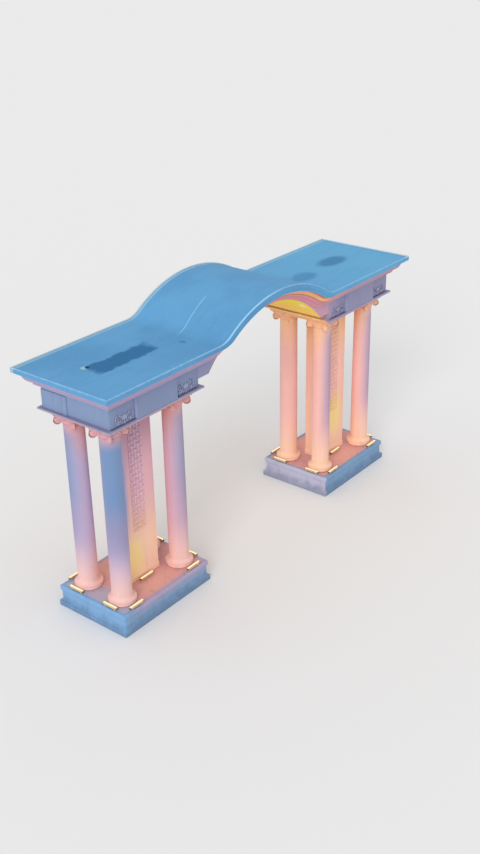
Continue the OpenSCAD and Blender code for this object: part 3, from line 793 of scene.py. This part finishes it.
def plinth(side):
    """Foot band, hollow, die and cap band, with soft plastered edges and a worn top one."""
    node = side + "_plinth"
    low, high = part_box(node)
    foot_out, waist, foot_h, cap_h, wear = PLINTH_FOOT_OUT, 0.034, 0.15, 0.17, 0.006
    top_size = (high.x - low.x - 2 * foot_out, high.y - low.y - 2 * foot_out)
    step = foot_out + waist
    cap_z = PLINTH_TOP - cap_h
    rows = [(foot_out, 0.0)]
    rows += arc((foot_out, foot_h), (-waist, foot_h + step), 0.2)
    rows += arc((-waist, cap_z), (0, cap_z + waist), 0.2, 4)
    rows += [(0, PLINTH_TOP - 3 * wear), (-2 * wear, PLINTH_TOP - wear), (-0.026, PLINTH_TOP)]
    piece = coursed((TOWER_X[side], 0), top_size, rows)
    soften(piece, 0.012, 3)
    return show(piece, side + "_plinth_render", "plinth_plaster", node)


# Columns


def column_centres(side):
    return [(TOWER_X[side] + sx * COLUMN_DX, sy * COLUMN_DY) for sx, sy in CORNERS]


def column_foot():
    """Torus, fillet and hollow sweep into the shaft, for a column at the origin."""
    radius = size_of("left_column_bases").x / 2 - COLUMN_DX
    height = SHAFT_FOOT - PLINTH_TOP
    torus = height * 0.2
    ring_z = PLINTH_TOP + 2 * torus
    rows = arc((radius - torus, PLINTH_TOP), (radius - torus, ring_z), -0.5, 14)
    fillet = SHAFT_R + height * 0.38
    rows += [(fillet, ring_z), (fillet, ring_z + height * 0.08)]
    rows += arc((fillet - 0.008, ring_z + height * 0.09), (SHAFT_R, SHAFT_FOOT), 0.22, 10)
    return turned((0, 0), rows, 72)


def column_feet(side):
    foot = column_foot()
    feet = [copy(foot, (x, y, 0)) for x, y in column_centres(side)]
    bpy.data.objects.remove(foot)
    return show(join(feet), side + "_column_feet", "column_plaster", side + "_column_bases")


def shafts(side):
    """Four smooth shafts with a faint swell and a small spread at the foot."""
    slim, rings = SHAFT_R - 0.003, 12
    tall = SHAFT_HEAD - SHAFT_FOOT
    rows = [(SHAFT_R, SHAFT_FOOT), (slim, SHAFT_FOOT + 0.03)]
    rows += [(slim - (slim - SHAFT_TOP_R) * (i / rings) ** 1.5, SHAFT_FOOT + tall * i / rings)
             for i in range(1, rings + 1)]
    model = turned((0, 0), rows, 96)
    for (sx, sy), (x, y) in zip(CORNERS, column_centres(side)):
        outer = "outer" if (sx > 0) == (side == "right") else "inner"
        name = side + "_shaft_" + outer + ("_front" if sy < 0 else "_back")
        show(copy(model, (x, y, 0)), name + "_render", "column_plaster", name)
    bpy.data.objects.remove(model)


# Piers


def pier(side):
    """Wall between the columns, over a low course that stands out a little."""
    node = side + "_pier"
    low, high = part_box(node)
    out, course_h, waist_h = 0.014, 0.16, 0.6
    course = PLINTH_TOP + course_h
    rows = [(out, low.z), (out, course - out), (0, course), (0, course + waist_h), (0, high.z)]
    size = (high.x - low.x - 2 * out, high.y - low.y - 2 * out)
    piece = coursed((TOWER_X[side], 0), size, rows)
    soften(piece, 0.01, 3)
    return show(piece, side + "_pier_render", "pier_plaster", node)


# Capitals


def hollow_slab(width, dish, horn, low, high):
    """A square slab whose sides curve in by dish and whose corners end at horn."""
    half = width / 2
    slab = block(Vector((-half, -half, low)), Vector((half, half, high)))
    horns = block(Vector((-horn, -horn, low - 1)), Vector((horn, horn, high + 1)))
    cut(slab, rotated(horns, math.pi / 4, "Z"), "INTERSECT")
    reach = (half * half + dish * dish) / (2 * dish)
    away = half - dish + reach
    for quarter in range(4):
        angle = quarter * math.pi / 2
        cut(slab, turned((away * math.cos(angle), away * math.sin(angle)),
                         [(reach, low - 0.1), (reach, high + 0.1)], 360))
    return slab


def egg_ring(reach, middle_z, count):
    """Eggs in their shells, with darts between, round the echinus."""
    egg = close_up(ball((reach, 0, middle_z), (0.014, 0.024, 0.034), 14, 10))
    brim_z = middle_z + 0.03
    shell = start(bpy.ops.mesh.primitive_circle_add, vertices=5, radius=0.005,
                  location=(reach, 0.031, brim_z), fill_type="NGON")
    bpy.ops.mesh.spin(steps=12, angle=math.pi, center=(reach, 0, brim_z), axis=(1, 0, 0))
    bpy.ops.mesh.select_all(action="SELECT")
    bpy.ops.transform.resize(value=(1, 1, 1.9), center_override=(reach, 0, brim_z))
    close_up(shell)
    dart_at = Matrix.Rotation(math.pi / count, 4, "Z") @ Vector((reach, 0, middle_z))
    dart = start(bpy.ops.mesh.primitive_cone_add, vertices=6, radius1=0.003, radius2=0.013,
                 depth=0.066, location=dart_at)
    close_up(dart)
    unit = join([egg, shell, dart])
    ring = [unit] + [copy(unit, turn=2 * math.pi * i / count) for i in range(1, count)]
    return join(ring)


def volute(slab_z):
    """The scroll of the corner towards +X: a wound fillet on a web that thickens to its eye."""
    middle = Vector((HORN - VOLUTE_R - 0.006, 0, slab_z - VOLUTE_R))
    scroll = coil(middle, VOLUTE_R, 0.016, VOLUTE_T, 0.84, 9)
    half, rim = VOLUTE_T / 2, VOLUTE_R - 0.012
    rows = [(0.018, half + 0.004), (0.024, half - 0.004), (rim, half - 0.014)]
    web = turned((0, 0), [(r, -z) for r, z in rows] + rows[::-1], 40)
    web = moved(rotated(web, math.pi / 2, "X"), middle)
    return join([soften(scroll, 0.003), web])


def capital():
    """Ionic capital for a column at the origin: neck ring, echinus with eggs, channelled
    block, corner volutes, hollow-sided abacus in two layers and a flower on each side."""
    slab_z = CAPITAL_TOP - ABACUS_H
    neck_r, ring_z = SHAFT_TOP_R, SHAFT_HEAD + 0.028
    bell_r, bell_z = SHAFT_TOP_R + 0.03, SHAFT_HEAD + 0.125
    rows = arc((neck_r, SHAFT_HEAD), (neck_r, ring_z), -0.5)
    rows += arc((neck_r, ring_z + 0.006), (bell_r, bell_z), -0.25)
    rows += [(bell_r - 0.01, slab_z)]
    pieces = [turned((0, 0), rows, 96), egg_ring(bell_r - 0.008, SHAFT_HEAD + 0.092, 20)]
    block_w = HORN * math.sqrt(2) - 0.04
    channel = hollow_slab(block_w, 0.05, HORN - 0.06, slab_z - 0.052, slab_z)
    pieces.append(soften(channel, 0.006))
    pieces += four_round(volute(slab_z), math.pi / 4)
    low_slab = hollow_slab(ABACUS_W - 0.03, ABACUS_DISH, HORN - 0.016, slab_z, slab_z + 0.018)
    top_slab = hollow_slab(ABACUS_W, ABACUS_DISH, HORN, slab_z + 0.016, CAPITAL_TOP)
    pieces += [soften(low_slab, 0.005), soften(top_slab, 0.005, 3)]
    flower_at = (ABACUS_W / 2 - ABACUS_DISH, 0, slab_z)
    pieces += four_round(close_up(ball(flower_at, (0.022, 0.04, 0.034), 16, 10)))
    return join(pieces)


def capitals():
    """Four capitals on each tower, copied from one."""
    model = capital()
    for side in SIDES:
        heads = [copy(model, (x, y, 0)) for x, y in column_centres(side)]
        show(join(heads), side + "_ionic_capitals", "column_plaster", side + "_capitals")
    bpy.data.objects.remove(model)


# Carved relief, whose middle stands out by a share of the whole depth
RELIEF_SHARE = 0.46


def leaf(foot, length, width, stand, lean):
    """A pointed leaf in relief, rising from its foot and leaning in the wall's plane."""
    blade = ball(foot, (width / 2, stand, length / 2), 8, 5)
    bpy.ops.transform.translate(value=(0, 0, length / 2))
    return rotated(close_up(blade), lean, "Y", foot)


def boss(middle, reach, stand):
    """A round bud in relief."""
    return leaf(middle - Vector((0, 0, reach)), reach * 2, reach * 2, stand, 0)


def fan(foot, length, stand, blades, spread):
    """A palmette: leaves that open from one foot."""
    leans = [(i / (blades - 1) * 2 - 1) * spread * math.pi / 2 for i in range(blades)]
    return join([leaf(foot, length * (1 - 0.25 * abs(lean)), length * 0.28, stand, lean)
                 for lean in leans])


def tendril(middle, reach, stand, quarters=5, turn=1):
    """A scroll of round stem that rolls up into a bud."""
    stem = coil(middle, reach, reach * 0.34, stand * 2, 0.76, quarters, turn, steps=4)
    soften(stem, min(reach * 0.1, stand * 0.6), 1)
    return join([stem, boss(middle, reach * 0.26, stand * 1.1)])


def scroll_cell(middle, pitch, stand):
    """One cell of the pier's scrollwork: a tendril with leaves on its shoulders."""
    reach = pitch.x * 0.4
    cell = [tendril(middle, reach, stand)]
    for x, z, length, width, lean in ((-0.7, -1.5, 0.62, 0.55, -0.5), (0.5, 0.9, 0.4, 0.5, 0.9),
                                      (0.9, -0.6, 0.42, 0.45, 2.5)):
        foot = middle + Vector((reach * x, 0, reach * z))
        cell.append(leaf(foot, pitch.z * length, reach * width, stand, lean))
    return join(cell)


def pier_carving(side):
    """Dense scrollwork up the middle of the pier's two long faces, four cells wide, in cells
    that turn alternate ways, on a thin plate."""
    node = side + "_pier_panels"
    low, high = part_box(node)
    rows, margin, stand = 24, 0.015, PIER_CARVING_OUT * RELIEF_SHARE
    pitch = Vector(((high.x - low.x - 2 * margin) / 4, 0, (high.z - low.z - 2 * margin) / rows))
    first = Vector((low.x + margin + pitch.x / 2, -PIER_Y - stand, low.z + margin + pitch.z / 2))
    cell = scroll_cell(first, pitch, stand)
    pair = join([cell, copy(cell, (0, 0, pitch.z), flip=(-1, 1, 1), about=first)])
    middle = TOWER_X[side] - pitch.x
    half = join([pair, copy(pair, flip=(-1, 1, 1), about=(middle, 0, 0))])
    full = join([half, copy(half, flip=(-1, 1, 1), about=(TOWER_X[side], 0, 0))])
    bands = [full] + [copy(full, (0, 0, 2 * i * pitch.z)) for i in range(1, rows // 2)]
    plate = block(Vector((low.x, -PIER_Y - 0.004, low.z)), Vector((high.x, -PIER_Y, high.z)))
    bands.append(soften(plate, 0.002))
    front = join(bands)
    back = copy(front, turn=math.pi, about=(TOWER_X[side], 0, 0))
    show(front, side + "_pier_carving_front", "pier_plaster", node, finish=PIER_RELIEF)
    show(back, side + "_pier_carving_back", "pier_plaster", node, finish=PIER_RELIEF)


def plaque():
    """Carving over a column: two scrolls that roll outwards from a palmette, with leaves
    that trail under them, in front of the origin's XZ plane."""
    stand = PLAQUE_OUT * RELIEF_SHARE
    foot = Vector((0, -stand, 0))
    parts = [fan(foot + Vector((0, 0, -0.02)), 0.145, stand, 7, 0.75),
             boss(foot + Vector((0, 0, -0.035)), 0.026, stand),
             fan(foot + Vector((0, 0, -0.13)), 0.09, stand, 5, 1.1)]
    wing = [tendril(foot + Vector((0.225, 0, 0.055)), 0.068, stand, 6),
            tendril(foot + Vector((0.105, 0, -0.01)), 0.042, stand, 5, -1),
            tendril(foot + Vector((0.255, 0, -0.07)), 0.04, stand, 5)]
    for x, z, length, lean in ((0.04, 0.03, 0.13, 1.1), (0.1, -0.05, 0.12, 1.7),
                               (0.13, 0.055, 0.1, 0.5), (0.15, -0.1, 0.12, 1.3),
                               (0.17, -0.015, 0.1, 2.2), (0.04, -0.08, 0.09, 1.9)):
        wing.append(leaf(foot + Vector((x, 0, z)), length, 0.036, stand, lean))
    right = join(wing)
    return join([*parts, right, copy(right, flip=(-1, 1, 1))])


def plaques():
    """Two plaques on each long face of each frieze, copied from one."""
    model = plaque()
    for side in SIDES:
        node = side + "_frieze_plaques"
        out, level = (size_of(node).x - PLAQUE_W) / 2, middle_of(node).z
        carved = []
        for sx in (-1, 1):
            for sy, turn in ((-1, 0), (1, math.pi)):
                at = (TOWER_X[side] + sx * out, sy * FRIEZE_D / 2, level)
                carved.append(copy(model, at, turn))
        show(join(carved), side + "_carved_plaques", "entablature_plaster", node,
             finish=WALL_RELIEF)
    bpy.data.objects.remove(model)


# Entablature
SWEEP_STEPS, CROWN_STEPS, VAULT_STEPS = 12, 48, 64


def architrave(side):
    """A hollow that spreads from the capitals to a thin ledge with worn edges."""
    tip = LEDGE_Z - LEDGE_T
    rows = [(-ARCHITRAVE_IN, CAPITAL_TOP), (-ARCHITRAVE_IN + 0.004, CAPITAL_TOP + 0.016)]
    rows += arc((-ARCHITRAVE_IN + 0.012, CAPITAL_TOP + 0.02), (LEDGE_OUT - 0.004, tip), 0.16, 14)
    rows += [(LEDGE_OUT, tip + 0.004), (LEDGE_OUT, LEDGE_Z)]
    piece = coursed((TOWER_X[side], 0), (FRIEZE_L, FRIEZE_D), rows)
    soften(piece, 0.007, 3)
    return show(piece, side + "_architrave_render", "entablature_plaster", side + "_architrave")


def splayed(tablet, sy):
    """Narrows a tablet's outer face, so that its ends slope back to the wall."""
    reopen(tablet, "DESELECT")
    bpy.ops.object.mode_set(mode="OBJECT")
    face = next(f for f in tablet.data.polygons if f.normal.y * sy > 0.9)
    face.select = True
    middle = face.center.copy()
    bpy.ops.object.mode_set(mode="EDIT")
    bpy.ops.transform.resize(value=(TABLET_SPLAY, 1, 1), center_override=middle)
    return close_up(tablet)


def frieze(side):
    """Plain wall over a thin open joint, with a bare tablet on each long face and, on the
    left tower, a facing on the outer end's back part."""
    x = TOWER_X[side]
    rows = [(-0.006, LEDGE_Z), (-0.006, LEDGE_Z + 0.008), (0, LEDGE_Z + 0.011), (0, FRIEZE_TOP)]
    pieces = [soften(coursed((x, 0), (FRIEZE_L, FRIEZE_D), rows), 0.004)]
    face, out, sunk = FRIEZE_D / 2, size_of("right_frieze").y / 2, 0.1
    for sy, low_y, high_y in ((-1, -out, sunk - face), (1, face - sunk, out)):
        tablet = block(Vector((x - TABLET_W / 2, low_y, LEDGE_Z)),
                       Vector((x + TABLET_W / 2, high_y, FRIEZE_TOP + COVE_R)))
        pieces.append(soften(splayed(tablet, sy), 0.012, 3))
    if side == "left":
        end_x, facing_l, facing_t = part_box("left_frieze")[0].x, 0.87, 0.05
        facing = block(Vector((end_x, face - facing_l, LEDGE_Z)),
                       Vector((end_x + facing_t, face - 0.002, FRIEZE_TOP)))
        pieces.append(soften(facing, 0.012, 3))
    return show(join(pieces), side + "_frieze_render", "entablature_plaster", side + "_frieze")


def cornice_rows():
    """The cornice's section as (standing out, height): hollow, narrow band and wave."""
    band_z = FRIEZE_TOP + COVE_R + BAND_H
    middle = ((BAND_OUT + WAVE_OUT) / 2, band_z + WAVE_H / 2)
    rows = arc((0, FRIEZE_TOP), (COVE_R, FRIEZE_TOP + COVE_R), 0.2071, 10)
    rows += [(BAND_OUT - 0.005, FRIEZE_TOP + COVE_R), (BAND_OUT, FRIEZE_TOP + COVE_R + 0.005)]
    rows += arc((BAND_OUT, band_z), middle, -0.134, 10)
    rows += arc(middle, (WAVE_OUT, band_z + WAVE_H), 0.134, 10)[1:]
    return rows


def cornice(side):
    """A tower's cornice on three sides, sawn off square where the arch's goes on."""
    sign, waste = (1 if side == "right" else -1), 0.8
    outer, inner = TOWER + FRIEZE_L / 2, HALF_SPAN - waste
    piece = coursed((sign * (outer + inner) / 2, 0), (outer - inner, FRIEZE_D), cornice_rows())
    reopen(piece)
    bpy.ops.mesh.bisect(plane_co=(sign * HALF_SPAN, 0, 0), plane_no=(sign, 0, 0),
                        use_fill=True, clear_inner=True)
    close_up(piece)
    return show(piece, side + "_cornice_render", "entablature_plaster", side + "_cornice")


def arch_cornice(front):
    """The same section swept along the swan-neck, and cut off at the vault's underside."""
    face = -FRIEZE_D / 2
    section = [(-HALF_SPAN, face - out, z) for out, z in cornice_rows()]
    section.append((-HALF_SPAN, face, ROOF_UNDER))
    piece = traced(section)
    for centre, angle, steps in (((-HALF_SPAN, 0, EDGE_Z + SWEEP_R), NECK_ANGLE, 16),
                                 ((0, 0, CROWN_Z), -2 * NECK_ANGLE, 56),
                                 ((HALF_SPAN, 0, EDGE_Z + SWEEP_R), NECK_ANGLE, 16)):
        bpy.ops.mesh.spin(steps=steps, angle=angle, center=centre, axis=(0, 1, 0))
    close_up(piece)
    bore = rotated(turned((0, 0), [(VAULT_R, -3), (VAULT_R, 3)], 256), math.pi / 2, "X")
    cut(piece, moved(bore, (0, 0, VAULT_Z)))
    if not front:
        rotated(piece, math.pi, "Z")
    name = "arch_cornice_" + ("front" if front else "back")
    return show(piece, name + "_render", "entablature_plaster", name, finish=ARCH_PAINT)


def neck_line(depth, swell=0.0):
    """Points of the swan-neck, left to right, set down by a depth that grows by swell
    towards the crown."""
    sweep, crown = [], []
    for i in range(SWEEP_STEPS + 1):
        share = i / SWEEP_STEPS
        angle, reach = NECK_ANGLE * share, SWEEP_R + depth + swell * share
        sweep.append((-HALF_SPAN + reach * math.sin(angle),
                      EDGE_Z + SWEEP_R - reach * math.cos(angle)))
    for i in range(1, CROWN_STEPS):
        angle, reach = NECK_ANGLE * (2 * i / CROWN_STEPS - 1), CROWN_R - depth - swell
        crown.append((reach * math.sin(angle), CROWN_Z + reach * math.cos(angle)))
    return sweep + crown + [(-x, z) for x, z in reversed(sweep)]


def vault():
    """The arch's body, with a smooth round underside."""
    spring = math.asin(SPRING_X / VAULT_R)
    angles = [spring * (2 * i / VAULT_STEPS - 1) for i in range(VAULT_STEPS + 1)]
    under = [(VAULT_R * math.sin(angle), VAULT_Z + VAULT_R * math.cos(angle)) for angle in angles]
    outline = [(-HALF_SPAN, FRIEZE_TOP), (-INNER_X, FRIEZE_TOP), (-INNER_X, SPRING_Z), *under,
               (INNER_X, SPRING_Z), (INNER_X, FRIEZE_TOP), (HALF_SPAN, FRIEZE_TOP)]
    outline += reversed(neck_line(SLAB_H))
    piece = prism(outline, -FRIEZE_D / 2, FRIEZE_D / 2)
    return show(piece, "arch_vault_render", "entablature_plaster", "arch_vault",
                finish=VAULT_PAINT)


# Roof
SEAM_AT, SEAM_TURN = (-5.53, -0.544, ROOF_TOP), -0.117
APRON_T, APRON_DROP = 0.022, 0.074


def roof():
    """One coated slab from end to end, with a lapped seam across the left roof."""
    top = [(-ROOF_X, ROOF_TOP), *neck_line(LIP_H), (ROOF_X, ROOF_TOP)]
    under = [(-ROOF_X, ROOF_UNDER), *neck_line(SLAB_H), (ROOF_X, ROOF_UNDER)]
    slab = soften(prism(top + under[::-1], -ROOF_Y, ROOF_Y), 0.006)
    seam = soften(block(Vector((-0.79, -0.022, -0.002)), Vector((0.79, 0.022, 0.004))), 0.003)
    seam = moved(rotated(seam, SEAM_TURN, "Z"), SEAM_AT)
    return show(join([slab, seam]), "roof_slab", "roof_coating",
                "left_roof", "arch_roof", "right_roof")


def roof_lips():
    """The raised edge round the roof, and the coat carried down over the arch's cornice."""
    top = [(-ROOF_X, EDGE_Z), *neck_line(0), (ROOF_X, EDGE_Z)]
    foot = [(-ROOF_X, ROOF_TOP), *neck_line(LIP_H), (ROOF_X, ROOF_TOP)]
    apron = [*neck_line(SLAB_H), *neck_line(SLAB_H, APRON_DROP)[::-1]]
    apron_y = ROOF_Y - 0.012
    for end, high, wall in (("front", -ROOF_Y + LIP_W, -apron_y),
                            ("back", ROOF_Y, apron_y - APRON_T)):
        lip = soften(prism(top + foot[::-1], high - LIP_W, high), 0.008, 3)
        show(lip, "roof_edge_" + end, "roof_coating", "roof_lip_" + end, finish=LIP_COAT)
        show(prism(apron, wall, wall + APRON_T), "roof_apron_" + end, "roof_coating")
    for end, low in (("left", -ROOF_X), ("right", ROOF_X - LIP_W)):
        lip = block(Vector((low, LIP_W - ROOF_Y, ROOF_TOP)),
                    Vector((low + LIP_W, ROOF_Y - LIP_W, EDGE_Z)))
        show(soften(lip, 0.008, 3), "roof_edge_" + end, "roof_coating", "roof_lip_" + end,
             finish=LIP_COAT)


def outlet():
    """Rain outlet: a collar and a short pipe, hollow down to the roof."""
    low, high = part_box("roof_outlet")
    collar_r, pipe_r, bore_r, collar_z = 0.054, 0.04, 0.034, low.z + 0.006
    rows = [(collar_r, low.z), (collar_r, collar_z), (pipe_r + 0.002, collar_z + 0.002),
            (pipe_r, collar_z + 0.005), (pipe_r, high.z), (bore_r, high.z), (bore_r, collar_z)]
    piece = soften(turned(middle_of("roof_outlet").xy, rows, 40), 0.0015)
    return show(piece, "outlet_pipe", "outlet_pipe", "roof_outlet")


# Lamps
LAMP_L, LAMP_W, LAMP_LOW, LAMP_TOP, FOOT_X = 0.48, 0.07, 0.04, 0.1, 0.173
GLASS_L, GLASS_W, GLASS_LOW = LAMP_L - 0.016, LAMP_W - 0.016, LAMP_TOP - 0.01
LAMP_INSET, PIER_LAMP_OUT = 0.07, 0.127


def bar(x, length, width, low, high):
    """A box along X, centred on (x, 0)."""
    reach = Vector((length / 2, width / 2, 0))
    return block(Vector((x, 0, low)) - reach, Vector((x, 0, high)) + reach)


def lamp_case():
    """A lamp bar at the origin: a long case with end caps, on two bent feet."""
    case = bar(0, LAMP_L, LAMP_W, LAMP_LOW, LAMP_TOP)
    well = bar(0, GLASS_L, GLASS_W, GLASS_LOW, LAMP_TOP + 0.02)
    cut(soften(case, 0.006, 3), well)
    pieces = [case]
    for sx in (-1, 1):
        cap = bar(sx * (LAMP_L / 2 - 0.014), 0.028, LAMP_W, LAMP_LOW + 0.002, GLASS_LOW - 0.002)
        foot = bar(sx * FOOT_X, 0.024, 0.056, 0, LAMP_LOW + 0.002)
        screw = turned((sx * FOOT_X, 0), [(0.006, 0.03), (0.006, 0.038), (0.004, 0.04)], 12)
        pieces += [soften(cap, 0.004), soften(foot, 0.003), screw]
    return join(pieces)


def lamp_glass():
    return soften(bar(0, GLASS_L, GLASS_W, GLASS_LOW, LAMP_TOP), 0.004, 3)


def lamp_places(side):
    """Where the bars stand on a plinth, as (x, y, turn)."""
    half = size_of(side + "_plinth") / 2 - Vector((1, 1, 0)) * (PLINTH_FOOT_OUT + LAMP_INSET)
    places = [(TOWER_X[side], sy * (PIER_Y + PIER_LAMP_OUT), 0) for sy in (-1, 1)]
    for sx, sy in CORNERS:
        places.append((TOWER_X[side] + sx * COLUMN_DX, sy * half.y, 0))
        places.append((TOWER_X[side] + sx * half.x, sy * COLUMN_DY, math.pi / 2))
    return places


def lamps():
    """Ten bars a tower, copied from one case and one glass."""
    models = ((lamp_case(), "_lamp_cases", "lamp_body", "_lamp_bodies"),
              (lamp_glass(), "_lamp_glasses", "lamp_lens", "_lamp_lenses"))
    for side in SIDES:
        for model, name, slot, node in models:
            placed = [copy(model, (x, y, PLINTH_TOP), turn) for x, y, turn in lamp_places(side)]
            show(join(placed), side + name, slot, side + node)
    for model, *_ in models:
        bpy.data.objects.remove(model)


def arch_lamps():
    """Floodlights under the springings, each with a glass that faces the passage."""
    low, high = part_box("arch_lamps")
    reach, window = Vector((0.036, 0.05, 0.04)), Vector((0.006, 0.04, 0.03))
    housings, glasses = [], []
    for sx in (-1, 1):
        at = Vector((sx * (high.x - 0.04), (low.y + high.y) / 2, (low.z + high.z) / 2))
        body = at + Vector((sx * 0.004, 0, 0))
        housings.append(soften(block(body - reach, body + reach), 0.006, 3))
        front = at - Vector((sx * reach.x, 0, 0))
        glasses.append(soften(block(front - window, front + window), 0.003))
    show(join(housings), "arch_lamp_housings", "lamp_body", "arch_lamps")
    show(join(glasses), "arch_lamp_glasses", "lamp_lens", "arch_lamps", finish=FLOOD_GLOW)


# Floor, light and camera


def lights():
    """Even pale surroundings and one soft key from the upper left. The camera and glossy
    rays see a plain backdrop instead."""
    world = bpy.data.worlds.new("studio")
    bpy.context.scene.world = world
    world.use_nodes = True
    nodes, link = world.node_tree.nodes, world.node_tree.links.new
    around, backdrop = nodes["Background"], nodes.new("ShaderNodeBackground")
    for surface, grey, strength in ((around, 1, 0.8), (backdrop, 0.82, 1)):
        surface.inputs["Color"].default_value = (grey, grey, grey, 1)
        surface.inputs["Strength"].default_value = strength
    path, seen = nodes.new("ShaderNodeLightPath"), nodes.new("ShaderNodeMath")
    seen.operation = "MAXIMUM"
    link(path.outputs["Is Camera Ray"], seen.inputs[0])
    link(path.outputs["Is Glossy Ray"], seen.inputs[1])
    mix = nodes.new("ShaderNodeMixShader")
    for socket, source in zip(mix.inputs, (seen, around, backdrop)):
        link(source.outputs[0], socket)
    link(mix.outputs[0], nodes["World Output"].inputs["Surface"])
    data = bpy.data.lights.new("key", "SUN")
    data.angle = 0.5
    data.energy = 1.2
    key = bpy.data.objects.new("key", data)
    bpy.context.collection.objects.link(key)
    beam = Vector((0.8, 0.36, -0.48))
    key.rotation_euler = beam.to_track_quat("-Z", "Y").to_euler()


def floor():
    bpy.ops.object.select_all(action="DESELECT")
    bpy.ops.mesh.primitive_plane_add(size=900, location=(0, 0, 0))
    ground = bpy.context.object
    ground.name = "floor"
    ground.data.materials.append(Finish("floor", 0.9, 0.0).done((0.84, 0.84, 0.84)))


def dress_nodes():
    """Gives every CAD node that stays in view the finish of its slot."""
    for part in frame["record"]["subparts"]:
        node = frame["nodes"][part["node"]]
        node.data.materials.clear()
        node.data.materials.append(FINISHES[part["material_slot"]])


dress_nodes()
for side in SIDES:
    plinth(side)
    column_feet(side)
    shafts(side)
    pier(side)
    pier_carving(side)
    architrave(side)
    frieze(side)
    cornice(side)
capitals()
plaques()
vault()
arch_cornice(front=True)
arch_cornice(front=False)
roof()
roof_lips()
outlet()
lamps()
arch_lamps()
floor()
lights()
camera()
bpy.context.scene.view_settings.view_transform = "Standard"
